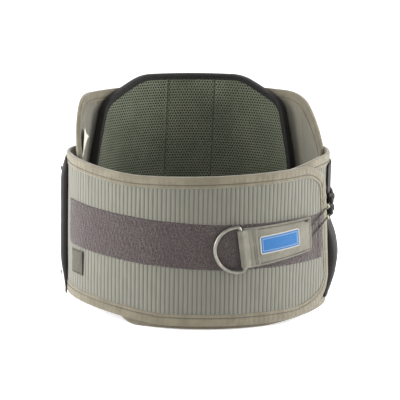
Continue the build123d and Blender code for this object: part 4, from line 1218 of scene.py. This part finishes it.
BADGE_MIDDLE, BADGE_SIZE, BADGE_TILT, BADGE_CORNER = (82.5, 98.0), (47.0, 21.0), 6.0, 3.0
badge_edge = tilted_rectangle(BADGE_MIDDLE, BADGE_SIZE, BADGE_TILT, BADGE_CORNER, 8.0)
s, z = panel_grid(badge_edge, 0.02, step=0.4, rows=64)
d = edge_distance(s, z, badge_edge)
rim = np.exp(-(((d - 0.75) / 0.6) ** 2))
outer = 7.75 + 0.35 * rolled(d, 0.5) + 0.3 * rim + 0.3 * smooth(d, 1, 6)
outer = outer + 0.12 * smooth(d, 1.3, 1.8) * np.sin(2 * math.pi * (s + z) / 1.5)
slope = math.radians(BADGE_TILT)
badge_s = s * math.cos(slope) + z * math.sin(slope)
badge_z = z * math.cos(slope) - s * math.sin(slope)
points = np.concatenate((plan(s, outer, z).reshape(-1, 3), plan(s, 7.6, z).reshape(-1, 3)))
pattern = np.stack((badge_s, badge_z, d), -1).reshape(-1, 3)
parts = Parts()
parts.add(points, slab_faces(*s.shape), np.concatenate((pattern, pattern)), BADGE)
parts.build("woven_badge", body="tab", slot="badge_weave", replaces=("tab_badge",))

# ---------------------------------------------------------------- hook tapes


def hook_sheet(parts, path, back, face, pitch=2.2):
    """Hook tape: a thin backing with rows of bent stems on its inner face."""
    s, z = panel_grid(path, 0.05, step=1.0, rows=60)
    backing = back - 0.35
    slab(parts, s, z, back, backing, HOOKS)
    low, high = spans(path)
    rng = np.random.default_rng(71)
    stems = []
    for a in np.arange(path[:, 0].min() + 1.5, path[:, 0].max() - 1.5, pitch):
        for b in np.arange(low(a) + 1.5, high(a) - 1.5, pitch):
            stems.append((a, b))
    stems = np.array(stems) + rng.uniform(-0.15, 0.15, (len(stems), 2))
    rise = np.array((0.0, 0.55, 0.85, 1.0)) * (face - backing)
    bend = np.array((0.0, 0.05, 0.3, 0.75)) * 0.9
    girth = np.array((0.34, 0.26, 0.24, 0.16))
    turn_by = rng.choice((-1.0, 1.0), len(stems))
    ring = np.array(((-1, -1), (1, -1), (1, 1), (-1, 1)))
    s = stems[:, 0, None, None] + girth[None, :, None] * ring[None, None, :, 0]
    z = stems[:, 1, None, None] + girth[None, :, None] * ring[None, None, :, 1]
    z = z + turn_by[:, None, None] * bend[None, :, None]
    t = np.broadcast_to((backing + rise)[None, :, None], s.shape)
    one = grid_faces(4, 4, wrap_columns=True)
    one = np.concatenate((one, ((12, 13, 14, 15), (3, 2, 1, 0))))
    faces = (one[None] + np.arange(len(stems))[:, None, None] * 16).reshape(-1, 4)
    up = np.broadcast_to(np.abs(rise)[None, :, None], s.shape)
    parts.add(plan(s, t, z), faces, np.stack((s, z, up), -1), HOOKS)


FLAP_HOOK_MIDDLE, FLAP_HOOK_SIZE, FLAP_HOOK_CORNER = (84.0, 87.5), (58.0, 104.0), 8.0
parts = Parts()
hook_path = tilted_rectangle(FLAP_HOOK_MIDDLE, FLAP_HOOK_SIZE, 0.0, FLAP_HOOK_CORNER, -1.5)
hook_sheet(parts, hook_path, FLAP[0] - 0.02, -1.95)
parts.build("closure_hook_tape", body="flap", slot="hook_tape", replaces=("closure_hook",))

TAB_HOOK_INSET, TAB_HOOK_X = 4.0, (52.5, 117.5)
inset_tab = tab_path(TAB_HOOK_INSET)
inset_tab[:, 0] = np.clip(inset_tab[:, 0], *s_front(TAB_HOOK_X, 5.0))
parts = Parts()
hook_sheet(parts, inset_tab, TAB[0] + 0.1, 4.15)
parts.build("tab_hook_tape", body="tab", slot="hook_tape", replaces=("tab_hook",))

# ---------------------------------------------------------------- back pad

PAD_SEAMS = ((-38.0, 4.0), (18.0, 4.0))
PAD_CELL = 3.65
PAD_FREE_EDGE = 5.0
PUFF_CAP, PUFF_HEIGHT, PUFF_ROLL = 9.0, 2.6, 26.0
SHEET_GAP = 1.2
pad_edge = pad_path()


def seam_s(x, slant, z):
    """Arc length of a pad seam at height z."""
    return s_back(x + slant * (np.asarray(z, float) - 130) / 125, -22.0)


def pad_puff(s, z):
    """Height of the pad's face from its cloth simulation, 0 at its pinned edge and seams."""
    step = 5.0
    edge_s = pad_edge[:, 0]
    grid_s = np.arange(edge_s.min() + PAD_FREE_EDGE, edge_s.max() - PAD_FREE_EDGE, step)
    count = 48
    low, high = spans(pad_edge)
    u = np.linspace(0, 1, count)[None, :]
    bottom, top = low(grid_s)[:, None] + PAD_FREE_EDGE, high(grid_s)[:, None] - PAD_FREE_EDGE
    sheet_s = np.broadcast_to(grid_s[:, None], (len(grid_s), count))
    sheet_z = bottom + u * (top - bottom)
    near = np.min(
        [np.abs(sheet_s - seam_s(x, slant, sheet_z)) for x, slant in PAD_SEAMS], axis=0
    )
    border = np.zeros(sheet_s.shape, bool)
    border[[0, -1], :] = True
    border[:, [0, -1]] = True
    pinned = border | (near < step * 0.55)
    lift = simulate(sheet_s, sheet_z, pinned)
    column = np.clip((s - grid_s[0]) / step, 0, len(grid_s) - 1.001)
    span = np.maximum(high(s) - low(s) - 2 * PAD_FREE_EDGE, 1)
    row = np.clip((z - low(s) - PAD_FREE_EDGE) / span, 0, 1) * (count - 1)
    row = np.minimum(row, count - 1.001)
    i, j = column.astype(int), row.astype(int)
    a, b = column - i, row - j
    a = a * a * (3 - 2 * a)
    return (
        lift[i, j] * (1 - a) * (1 - b)
        + lift[i + 1, j] * a * (1 - b)
        + lift[i, j + 1] * (1 - a) * b
        + lift[i + 1, j + 1] * a * b
    )


PAD_CLOTH = {
    "vertex_group_mass": "pinned",
    "use_pressure": True,
    "uniform_pressure_force": 4.0,
    "quality": 6,
    "tension_stiffness": 12.0,
    "compression_stiffness": 12.0,
    "shear_stiffness": 5.0,
    "bending_stiffness": 0.6,
    "mass": 0.15,
}


def simulate(sheet_s, sheet_z, pinned):
    """Runs Blender's cloth on a flat copy of the pad, blown up by pressure, and reads its height."""
    rows, columns = sheet_s.shape
    front = np.stack((sheet_s, sheet_z, np.full(sheet_s.shape, SHEET_GAP)), -1) * MM
    back = np.stack((sheet_s, sheet_z, np.zeros(sheet_s.shape)), -1) * MM
    mesh = bpy.data.meshes.new("pad_simulation")
    points = np.concatenate((front.reshape(-1, 3), back.reshape(-1, 3)))
    mesh.from_pydata(points.tolist(), [], slab_faces(rows, columns)[:, ::-1].tolist())
    mesh.update()
    pad = bpy.data.objects.new("pad_simulation", mesh)
    scene.collection.objects.link(pad)
    group = pad.vertex_groups.new(name="pinned")
    held = np.concatenate((np.flatnonzero(pinned), np.arange(rows * columns, 2 * rows * columns)))
    group.add(held.tolist(), 1.0, "REPLACE")
    cloth = pad.modifiers.new("cloth", "CLOTH")
    for key, value in PAD_CLOTH.items():
        setattr(cloth.settings, key, value)
    cloth.settings.effector_weights.gravity = 0.0
    cloth.collision_settings.use_self_collision = False
    for number in range(1, 21):
        scene.frame_set(number)
    seen = pad.evaluated_get(bpy.context.evaluated_depsgraph_get())
    result = np.empty(len(points) * 3, np.float32)
    seen.data.vertices.foreach_get("co", result)
    lift = (result.reshape(-1, 3)[: rows * columns, 2] / MM - SHEET_GAP).reshape(rows, columns)
    scene.frame_set(1)
    bpy.data.objects.remove(pad)
    bpy.data.meshes.remove(mesh)
    lift = np.clip(lift, 0.0, PUFF_CAP)
    return PUFF_HEIGHT * lift / max(float(np.percentile(lift, 98)), 1e-6)


s, z = panel_grid(pad_edge, 1.0, step=0.6, rows=420)
d = edge_distance(s, z, pad_edge[::3])
near = [np.abs(s - seam_s(x, slant, z)) for x, slant in PAD_SEAMS]
groove = np.max([1 - smooth(n, 0.0, 3.2) for n in near], axis=0)
row_height = PAD_CELL * math.sqrt(3) / 2


def cell_distance(shift_s, shift_z):
    """Distance to the nearest cell centre of one of the mesh's two square lattices."""
    a = (s - shift_s + PAD_CELL / 2) % PAD_CELL - PAD_CELL / 2
    b = (z - shift_z + row_height) % (2 * row_height) - row_height
    return np.hypot(a, b)


cell = np.minimum(cell_distance(0, 0), cell_distance(PAD_CELL / 2, row_height))
# hole sinks the open cells and, through the 'hole' attribute, gives them painted shade
hole = (1 - smooth(cell, 0.75, 1.3)) * smooth(d, 5.0, 6.5) * (1 - smooth(groove, 0.35, 0.6))
puff = pad_puff(s, z)
face = -22.9 - np.clip(puff, 0, 3.2) + 1.3 * groove + 0.85 * hole - 0.12 * ripple(s, z, 60.0, 81)
rear = -15.1 + 0.1 * ripple(s, z, 24.0, 82)
parts = Parts()
slab(parts, s, z, rear, face, SPACER, hole=hole)
low, high = spans(pad_edge)
for x, slant in PAD_SEAMS:
    heights = np.linspace(12.0, 250.0, 90)
    line = np.stack((seam_s(x, slant, heights), heights), -1)
    above, below = low(line[:, 0]) + PAD_FREE_EDGE, high(line[:, 0]) - PAD_FREE_EDGE
    line = line[(heights > above) & (heights < below)]
    sew(parts, line, -22.2, BLACK_STITCH, inside=True, pitch=2.8, length=2.0, radius=0.4)
pad = parts.build(
    "back_pad_mesh", body="root", slot="spacer_mesh", replaces=("back_pad",), holes=True
)
parts = Parts()
binding(
    parts,
    pad_edge,
    (-22.9, -15.1),
    6.5,
    BLACK_BINDING,
    BLACK_STITCH,
    closed=True,
    lift=(0.5, 0.95),
    stitch_at=0.72,
    step=1.2,
)
parts.build(
    "back_pad_edge", body="root", slot="black_binding", replaces=("back_pad_binding",)
)

# ---------------------------------------------------------------- side covers


def box_distance(y, z, y_range, z_range, radius):
    """How far inside a rounded rectangle points are."""
    middle_y, middle_z = sum(y_range) / 2, sum(z_range) / 2
    a = np.abs(y - middle_y) - (y_range[1] - y_range[0]) / 2 + radius
    b = np.abs(z - middle_z) - (z_range[1] - z_range[0]) / 2 + radius
    outside = np.hypot(np.maximum(a, 0), np.maximum(b, 0))
    return radius - outside - np.minimum(np.maximum(a, b), 0)


def box_path(side, y_range, z_range, radius, t):
    """A rounded rectangle on one side of the belt as a closed (s, z) path, interior on its right."""
    (y0, y1), (z0, z1) = y_range, z_range
    corners = [(y0, z0, radius), (y0, z1, radius), (y1, z1, radius), (y1, z0, radius)]
    outline = rounded(corners, closed=True)
    path = np.stack((s_side(outline[:, 0], t), outline[:, 1]), -1)
    if side < 0:
        path = path[::-1] * (-1, 1)
    return path


def side_cover(parts, side, y_range, z_range, radius, outer_of, inner, material, step=0.7, rows=200):
    """A moulded cover on one side; outer_of(y, z, edge distance) is its outer offset."""
    path = box_path(side, y_range, z_range, radius, 5.0)
    s, z = panel_grid(path, 0.02, step=step, rows=rows)
    y = y_at(s, 5.0)
    d = np.maximum(box_distance(y, z, y_range, z_range, radius), 0)
    outer = outer_of(y, z, d)
    slab(parts, s, z, outer, np.minimum(inner, outer - 0.35), material)
    return path


COVER_CORNER = 6.0
LEFT_COVER_Y, LEFT_COVER_Z = (-11.5, 40.0), (13.0, 174.0)
RIGHT_COVER_Y, RIGHT_COVER_Z = (-36.0, 42.0), (14.0, 172.0)


def left_cover_outer(y, z, d):
    """Lens profile: a quick rise at the top, a slow taper at the bottom, a bead round the edge."""
    swell = smooth(z, 10, 62) * (1 - smooth(z, 146, 178)) ** 0.6
    shape = rolled(d, 1.2) * 1.1 + swell * 5.9 * rolled(d, 9.0)
    step = 0.35 * smooth(d, 3.2, 4.2)
    return 3.45 + shape - step + 0.08 * ripple(y, z, 30.0, 91)


# Teardrop bulge of the right cover, as (height, rise) from its bottom to its top
BULGE = (
    (14, 0.0), (18, 1.2), (24, 3.4), (40, 8.2), (60, 11.0), (70, 10.8),
    (85, 8.2), (95, 4.7), (104, 0.9), (109, 0.0), (172, 0.0),
)


def right_cover_outer(y, z, d):
    """Thin flat sheet above, and below it a teardrop bulge over the cord's slack chamber."""
    levels, bulge = np.array(BULGE).T
    lift = np.interp(z, levels, bulge)
    for _ in range(2):
        lift = (lift + np.interp(z - 3, levels, bulge) + np.interp(z + 3, levels, bulge)) / 3
    step = 0.3 * smooth(d, 3.2, 4.2)
    return -0.9 + 0.7 * rolled(d, 1.0) + lift * rolled(d, 8.0) - step * np.clip(lift, 0.3, 1)


parts = Parts()
side_cover(parts, -1, LEFT_COVER_Y, LEFT_COVER_Z, COVER_CORNER, left_cover_outer, 3.1, SHELL)
parts.build(
    "left_cover_shell", body="root", slot="shell_plastic", replaces=("left_side_cover",)
)
parts = Parts()
side_cover(parts, 1, RIGHT_COVER_Y, RIGHT_COVER_Z, COVER_CORNER, right_cover_outer, -2.0, SHELL)
parts.build(
    "right_cover_shell", body="root", slot="shell_plastic", replaces=("right_side_cover",)
)

# ---------------------------------------------------------------- cord sleeve and guide

# The pull cords' levels at the side, their offsets at the side and where they cross the flap's edge
PULL_LEVELS = (130.0, 117.0)
CORD_T, CROSSING_T, TAB_END_T = 3.0, 5.7, 6.4
SIDE_BENDS = (-19.0, -7.0, 5.0, 17.0, 29.0)


def back_spot(degrees, t, z):
    """A point on the back, by its turn from the middle towards +X."""
    a = math.radians(degrees)
    return Vector(((FR + t) * math.sin(a), (FR + t) * math.cos(a) - FACE_Y + PLAN_Y, z)) * MM


def side_spot(degrees, t, z):
    """A point on the right side, by its turn from +X towards the back."""
    a = math.radians(degrees)
    return Vector((SIDE_X + (SR + t) * math.cos(a), (SR + t) * math.sin(a) + PLAN_Y, z)) * MM


def front_spot(x, z, t):
    """A point on the front, by its x."""
    return Vector(plan(s_front(x, t), t, z))


SLEEVE_Y, SLEEVE_Z = (-24.0, 40.0), (109.0, 138.0)


def sleeve_outer(y, z, d):
    """A soft cover that hugs the two pull cords and is sewn down between and beside them."""
    hump = sum(np.exp(-((np.abs(z - level) / 3.4) ** 3)) for level in PULL_LEVELS)
    return 0.7 + rolled(d, 0.8) * 1.2 + 3.0 * np.clip(hump, 0, 1) + 0.1 * ripple(y, z, 9.0, 95)


parts = Parts()
side_cover(
    parts, 1, SLEEVE_Y, SLEEVE_Z, 2.0, sleeve_outer, 0.3, BLACK_BINDING, step=0.6, rows=80
)
for level in (110.8, 123.5, 136.2):
    y = np.linspace(SLEEVE_Y[0] + 2, SLEEVE_Y[1] - 2, 40)
    sew(parts, np.stack((s_side(y, 2.0), np.full(40, level)), -1), 2.1, BLACK_STITCH, radius=0.35)
parts.build(
    "cord_sleeve_cloth", body="root", slot="shell_plastic", replaces=("cord_sleeve",)
)


def revolve(parts, centre, axis, profile, material, sides=20):
    """A ring turned round an axis; the profile is a closed loop of (radius, along) in mm."""
    axis = Vector(axis).normalized()
    one = axis.orthogonal().normalized()
    two = axis.cross(one)
    one, two, axis, centre = (np.array(v) for v in (one, two, axis, centre))
    profile = np.asarray(profile, float) * MM
    a = np.arange(sides) * 2 * math.pi / sides
    ring = np.cos(a)[:, None] * one + np.sin(a)[:, None] * two
    points = centre + ring[:, None, :] * profile[None, :, :1] + axis * profile[None, :, 1:]
    faces = grid_faces(sides, len(profile), wrap_rows=True, wrap_columns=True)
    u = np.broadcast_to((a * 4)[:, None], points.shape[:2])
    v = np.broadcast_to(profile[None, :, 1] / MM, points.shape[:2])
    parts.add(points, faces, np.stack((u, v, np.zeros_like(u)), -1), material)


GUIDE_Y = (-38.0, -29.0)


def guide_outer(y, z, d):
    """A low bridge that rises over each cord's eyelet."""
    hump = sum(1 - smooth(np.abs(z - level), 3.0, 5.6) for level in PULL_LEVELS)
    return 1.5 + 1.3 * rolled(d, 1.5) + 3.2 * np.clip(hump, 0, 1) * rolled(d, 2.2)


EYELET = ((1.35, -1.4), (1.9, -1.7), (2.7, -1.0), (2.9, 0.3), (2.5, 1.3), (1.9, 1.6), (1.35, 1.2))
CROSSINGS = ((137.0, 122.0), (137.0, 109.0))
parts = Parts()
side_cover(parts, 1, GUIDE_Y, SLEEVE_Z, 2.2, guide_outer, -0.2, SHELL, step=0.4, rows=90)
for (x, z), level in zip(CROSSINGS, PULL_LEVELS):
    corner_spot = front_spot(x, z, CROSSING_T)
    entry = side_spot(SIDE_BENDS[0], CORD_T, level)
    way = (entry - corner_spot).normalized()
    spot = corner_spot.lerp(entry, 0.42)
    revolve(parts, spot, way, EYELET, GUIDE)
parts.build(
    "cord_guide_bridge", body="root", slot="shell_plastic", replaces=("cord_guide",)
)

# ---------------------------------------------------------------- labels

LABEL_Y, LABEL_Z = 16.0, 182.0
LABEL_LONG, LABEL_WIDE = 19.0, 11.0
LABEL_TILT = math.radians(52.0)
LABEL_LIFT, LABEL_SEAM = 3.4, 9.8


def label_place(u, v):
    """(y, z) of a place along and across the label."""
    y = LABEL_Y + u * math.cos(LABEL_TILT) - v * math.sin(LABEL_TILT)
    z = LABEL_Z + u * math.sin(LABEL_TILT) + v * math.cos(LABEL_TILT)
    return y, z


label_u = np.linspace(-LABEL_LONG, LABEL_LONG, 90)[:, None]
label_v = np.linspace(-LABEL_WIDE, LABEL_WIDE, 60)[None, :]
label_y, label_z = label_place(label_u, label_v)
curl = 1 - 0.35 * (label_u / LABEL_LONG) ** 2
lift = LABEL_LIFT * smooth(label_v, -9.0, 12.0) ** 1.3 * curl
lift = lift + 0.2 * ripple(label_u, label_v, 18.0, 97)
edge = np.minimum(LABEL_LONG - np.abs(label_u), LABEL_WIDE - np.abs(label_v))
inner = -12.75 - lift - 0.12 * rolled(edge, 0.8)
parts = Parts()
slab(parts, -s_side(label_y, -13.0), label_z, -12.45 - lift, inner, LABEL)
seam_y, seam_z = label_place(label_u[4:-4, 0], -LABEL_SEAM)
label_seam = np.stack((-s_side(seam_y, -13.0), seam_z), -1)
sew(parts, label_seam, -12.85, STITCH, inside=True, pitch=2.2, length=1.5, radius=0.3)
parts.build(
    "care_label_cloth", body="root", slot="label_cloth", replaces=("care_label",)
)

SIZE_X, SIZE_Z = (-147.5, -135.5), (46.0, 74.0)
size_s = s_front(np.linspace(*SIZE_X, 40), 2.8)[:, None]
size_z = np.linspace(*SIZE_Z, 80)[None, :]
to_sides = np.minimum(size_s - size_s[0], size_s[-1] - size_s)
edge = np.minimum(to_sides, np.minimum(size_z - SIZE_Z[0], SIZE_Z[1] - size_z))
size_bow = 0.5 * smooth(size_s, size_s[0, 0], size_s[-1, 0])
size_bow = size_bow + 0.15 * ripple(size_s, size_z, 14.0, 98)
parts = Parts()
slab(parts, size_s, size_z, 2.9 + size_bow + 0.3 * rolled(edge, 0.6), 2.75 + size_bow, SIZE_CLOTH)
for line_z in (SIZE_Z[0] + 1.6, SIZE_Z[1] - 1.6):
    line = np.stack((np.linspace(size_s[3, 0], size_s[-4, 0], 20), np.full(20, line_z)), -1)
    sew(parts, line, 3.45, TAB_STITCH, pitch=2.0, length=1.4, radius=0.28)
heights = np.linspace(SIZE_Z[0] + 0.5, SIZE_Z[1] - 0.5, 20)
right_edge = np.stack((np.full(20, size_s[-1, 0] - 0.6), heights), -1)
sew(parts, right_edge, 3.6, BLACK_STITCH, pitch=1.1, length=1.3, radius=0.4)
parts.build("size_tab_cloth", body="flap", slot="size_cloth", replaces=("size_tab",))

# ---------------------------------------------------------------- cords and lacing

CORD_RADIUS = 0.75


def housing_spot(side, distance, lift, z):
    """A point on a housing: distance outwards from its axles, lift above its base's inner face."""
    a = math.radians(side * 20.0)
    away = Vector((math.cos(a), -math.sin(a), 0)) * side * distance * MM
    return back_spot(side * 20.0, -5.4 + lift, z) + away


def smooth_line(route, step=0.8):
    """Points along the smooth spline that has the route's points as its controls."""
    data = bpy.data.curves.new("route", "CURVE")
    data.dimensions = "3D"
    spline = data.splines.new("NURBS")
    spline.points.add(len(route) - 1)
    for point, place in zip(spline.points, route):
        point.co = (*place, 1.0)
    spline.order_u = 3
    spline.use_endpoint_u = True
    spline.resolution_u = 24
    carrier = bpy.data.objects.new("route", data)
    mesh = bpy.data.meshes.new_from_object(carrier)
    points = np.array([tuple(v.co) for v in mesh.vertices])
    bpy.data.meshes.remove(mesh)
    bpy.data.objects.remove(carrier)
    bpy.data.curves.remove(data)
    return resample(points, step * MM)


def cord_tube(parts, points, sides=10):
    """A braided cord along a line: two crossing spirals of strands stand a little proud."""
    along = np.gradient(points, axis=0)
    along /= np.linalg.norm(along, axis=1)[:, None]
    up = np.array((0.0, 0.0, 1.0))
    one = np.cross(along, up)
    one /= np.linalg.norm(one, axis=1)[:, None]
    two = np.cross(along, one)
    length = np.concatenate([[0], np.cumsum(np.linalg.norm(np.diff(points, axis=0), axis=1))]) / MM
    a = np.arange(sides) * 2 * math.pi / sides
    phase = 2 * math.pi * length[:, None] / 3.2
    braid = 0.05 * (np.sin(phase + 2 * a) + np.sin(phase - 2 * a))
    girth = (CORD_RADIUS - 0.02 + braid) * MM
    ring = np.cos(a)[None, :, None] * one[:, None] + np.sin(a)[None, :, None] * two[:, None]
    surface = points[:, None] + ring * girth[..., None]
    faces = grid_faces(len(points), sides, wrap_columns=True, flip=True)
    last = (len(points) - 1) * sides
    caps = [(k, k + 1, sides - 2 - k, sides - 1 - k) for k in range(sides // 2 - 1)]
    caps += [tuple(last + k for k in c[::-1]) for c in caps]
    u = np.broadcast_to(length[:, None], surface.shape[:2])
    v = np.broadcast_to((a * CORD_RADIUS)[None, :], surface.shape[:2])
    pattern = np.stack((u, v, np.zeros_like(u)), -1)
    parts.add(surface, np.concatenate((faces, np.array(caps))), pattern, CORD)


TOUCH = 4.3
PLATE_T = -5.05
CORD_LIFT = 3.7
PULLEYS = {"left": (157.5, 135.5, 111.5, 89.5), "right": (168.5, 146.5, 100.5, 78.5)}
WRAP = 5.5
ANCHORS = (174.0, 73.0)
MIDDLE_LEVEL = 123.5
SLEEVE_OUT = (48.0, -0.6)


def sleeve_end(level):
    """Where a pull cord's side length ends and its lacing starts, in the sleeve's rear mouth."""
    return side_spot(SIDE_BENDS[-1], CORD_T, level).lerp(back_spot(*SLEEVE_OUT, level), 0.5)


def strand_in(side, z):
    """A lacing strand's points from the belt's middle to just short of the pulleys."""
    return [
        back_spot(0.0, PLATE_T, z),
        back_spot(side * TOUCH, PLATE_T + 0.45, z),
        housing_spot(side, -9.0, CORD_LIFT, z),
    ]


def round_pulley(side, z):
    """A cord's points in along one strand, half round a pulley's groove and out along the next."""
    reach = WRAP / math.cos(math.pi / 8)
    bends = [
        housing_spot(side, reach * math.cos(a), CORD_LIFT, z + reach * math.sin(a))
        for a in (3 * math.pi / 8, math.pi / 8, -math.pi / 8, -3 * math.pi / 8)
    ]
    return strand_in(side, z + WRAP) + bends + strand_in(side, z - WRAP)[::-1]


for side_name, side in (("left", -1), ("right", 1)):
    parts = Parts()
    for level in PULLEYS[side_name]:
        cord_tube(parts, smooth_line(round_pulley(side, level)))
    if side < 0:
        for level in ANCHORS:
            end = housing_spot(side, 2.5, CORD_LIFT, level)
            cord_tube(parts, smooth_line([*strand_in(side, level), end]))
    else:
        for level in PULL_LEVELS:
            route = [
                back_spot(0.0, PLATE_T, level),
                back_spot(TOUCH, PLATE_T + 0.45, level),
                housing_spot(side, -5.5, 5.2, level),
                housing_spot(side, 5.0, 5.2, level),
                housing_spot(side, 24.5, 3.8, level),
                back_spot(34.0, -2.6, level),
                back_spot(41.0, -2.4, level),
                back_spot(*SLEEVE_OUT, level),
                sleeve_end(level),
            ]
            cord_tube(parts, smooth_line(route))
    parts.build(
        side_name + "_lacing_cord",
        blend=(
            "root",
            side_name + "_housing",
            back_spot(side * 1.0, -4.0, MIDDLE_LEVEL),
            housing_spot(side, -9.0, CORD_LIFT, MIDDLE_LEVEL),
        ),
        slot="cord",
        replaces=("lacing_" + side_name,),
    )

TAB_ENDS = ((121.2, 109.5), (122.0, 96.5))
FLAP_SHARE, FINE_STEP = 0.65, 0.25


def pull_route(tab_end, crossing_place, level):
    """A pull cord's start at the tab, its end on the flap, its crossing and its end at the guide."""
    start = front_spot(*tab_end, TAB_END_T)
    crossing = front_spot(*crossing_place, CROSSING_T)
    at_guide = crossing.lerp(side_spot(SIDE_BENDS[0], CORD_T, level), 0.5)
    return start, start.lerp(crossing, FLAP_SHARE), crossing, at_guide


run, lead, side_cords = Parts(), Parts(), Parts()
for (tab_x, tab_z), (x, z), level in zip(TAB_ENDS, CROSSINGS, PULL_LEVELS):
    start, on_flap, crossing, at_guide = pull_route((tab_x, tab_z), (x, z), level)
    cord_tube(run, smooth_line([start, start.lerp(on_flap, 0.5), on_flap], FINE_STEP))
    cord_tube(lead, smooth_line([on_flap, crossing, at_guide], FINE_STEP))
    bends = [side_spot(degrees, CORD_T, level) for degrees in SIDE_BENDS]
    last = sleeve_end(level)
    cord_tube(side_cords, smooth_line([at_guide, *bends, last]))
middles = pull_route((121.6, 103.0), (137.0, 115.5), MIDDLE_LEVEL)
middle_start, middle_split, _, middle_guide = middles
run.build(
    "pull_cord_run",
    blend=("flap", "tab", middle_split, middle_start),
    slot="cord",
    replaces=("pull_cords_run",),
)
lead.build(
    "pull_cord_lead",
    blend=("root", "flap", middle_guide, middle_split),
    slot="cord",
    replaces=("pull_cords_lead",),
)
side_cords.build("pull_cord_side", body="root", slot="cord", replaces=("pull_cords_side",))

# ---------------------------------------------------------------- back outline, worked out again and not used


back_path()

# ---------------------------------------------------------------- rigid parts kept from the frame

KEPT = {
    "slide_plate": PLATE,
    "slide_plate_rivets": RIVET,
    "lumbar_stiffener": STAY,
    "left_stay": STAY,
    "right_stay": STAY,
    "cover_rivets": RIVET,
    "d_ring": STEEL,
    "tab_rivet": DARK_RIVET,
}
for side_name in ("left", "right"):
    KEPT[side_name + "_housing_base"] = HOUSING
    KEPT[side_name + "_housing_bar"] = HOUSING
    KEPT[side_name + "_axles"] = RIVET
    KEPT[side_name + "_bar_screws"] = RIVET
    for number in range(1, 5):
        KEPT[f"{side_name}_pulley_{number}"] = NYLON
for node, material in KEPT.items():
    kept = bpy.data.objects[node]
    kept.data.materials.clear()
    kept.data.materials.append(material)

# ---------------------------------------------------------------- stage and light

FLOOR_RADIUS, FLOOR_SIDES, FLOOR_Z = 40.0, 64, -0.0005
floor_mesh = bpy.data.meshes.new("floor")
angles = [2 * math.pi * k / FLOOR_SIDES for k in range(FLOOR_SIDES)]
ring = [(FLOOR_RADIUS * math.cos(a), FLOOR_RADIUS * math.sin(a), FLOOR_Z) for a in angles]
floor_mesh.from_pydata(ring, [], [tuple(range(FLOOR_SIDES))])
floor = bpy.data.objects.new("floor", floor_mesh)
scene.collection.objects.link(floor)
paper = Shader("paper", Specular_IOR_Level=0.1)
paper_vector, _, _, _ = paper.solid()
paper_base = paper.mix(paper.noise(paper_vector, 60.0, 2.0), (250, 250, 250), (246, 246, 246))
floor_mesh.materials.append(paper.finish(paper_base, 0.9))
paper.put(paper.bsdf.inputs["Emission Color"], (1.0, 1.0, 1.0, 1.0))
paper.put(paper.bsdf.inputs["Emission Strength"], 0.35)

world = bpy.data.worlds.new("studio")
world.use_nodes = True
world.node_tree.nodes["Background"].inputs["Color"].default_value = (1.0, 1.0, 1.0, 1.0)
world.node_tree.nodes["Background"].inputs["Strength"].default_value = 1.0
scene.world = world


LIGHT_TARGET = Vector((0.0, 0.0, 0.12))
LIGHT_DISTANCE, LIGHT_ELEVATION, LIGHT_SIZE = 1.5, 16.0, (0.7, 1.2)


def area_light(name, azimuth, watts):
    """A soft light that faces the belt, at an azimuth measured from -Y towards +X."""
    data = bpy.data.lights.new(name, "AREA")
    data.shape = "RECTANGLE"
    data.size, data.size_y = LIGHT_SIZE
    data.energy = watts
    light = bpy.data.objects.new(name, data)
    scene.collection.objects.link(light)
    a, e = math.radians(azimuth), math.radians(LIGHT_ELEVATION)
    away = Vector((math.sin(a) * math.cos(e), -math.cos(a) * math.cos(e), math.sin(e)))
    light.location = LIGHT_TARGET + away * LIGHT_DISTANCE
    light.rotation_euler = away.to_track_quat("Z", "Y").to_euler()


area_light("left_light", -88.0, 46.0)
area_light("right_light", 86.0, 42.0)
scene.view_settings.view_transform = "Standard"
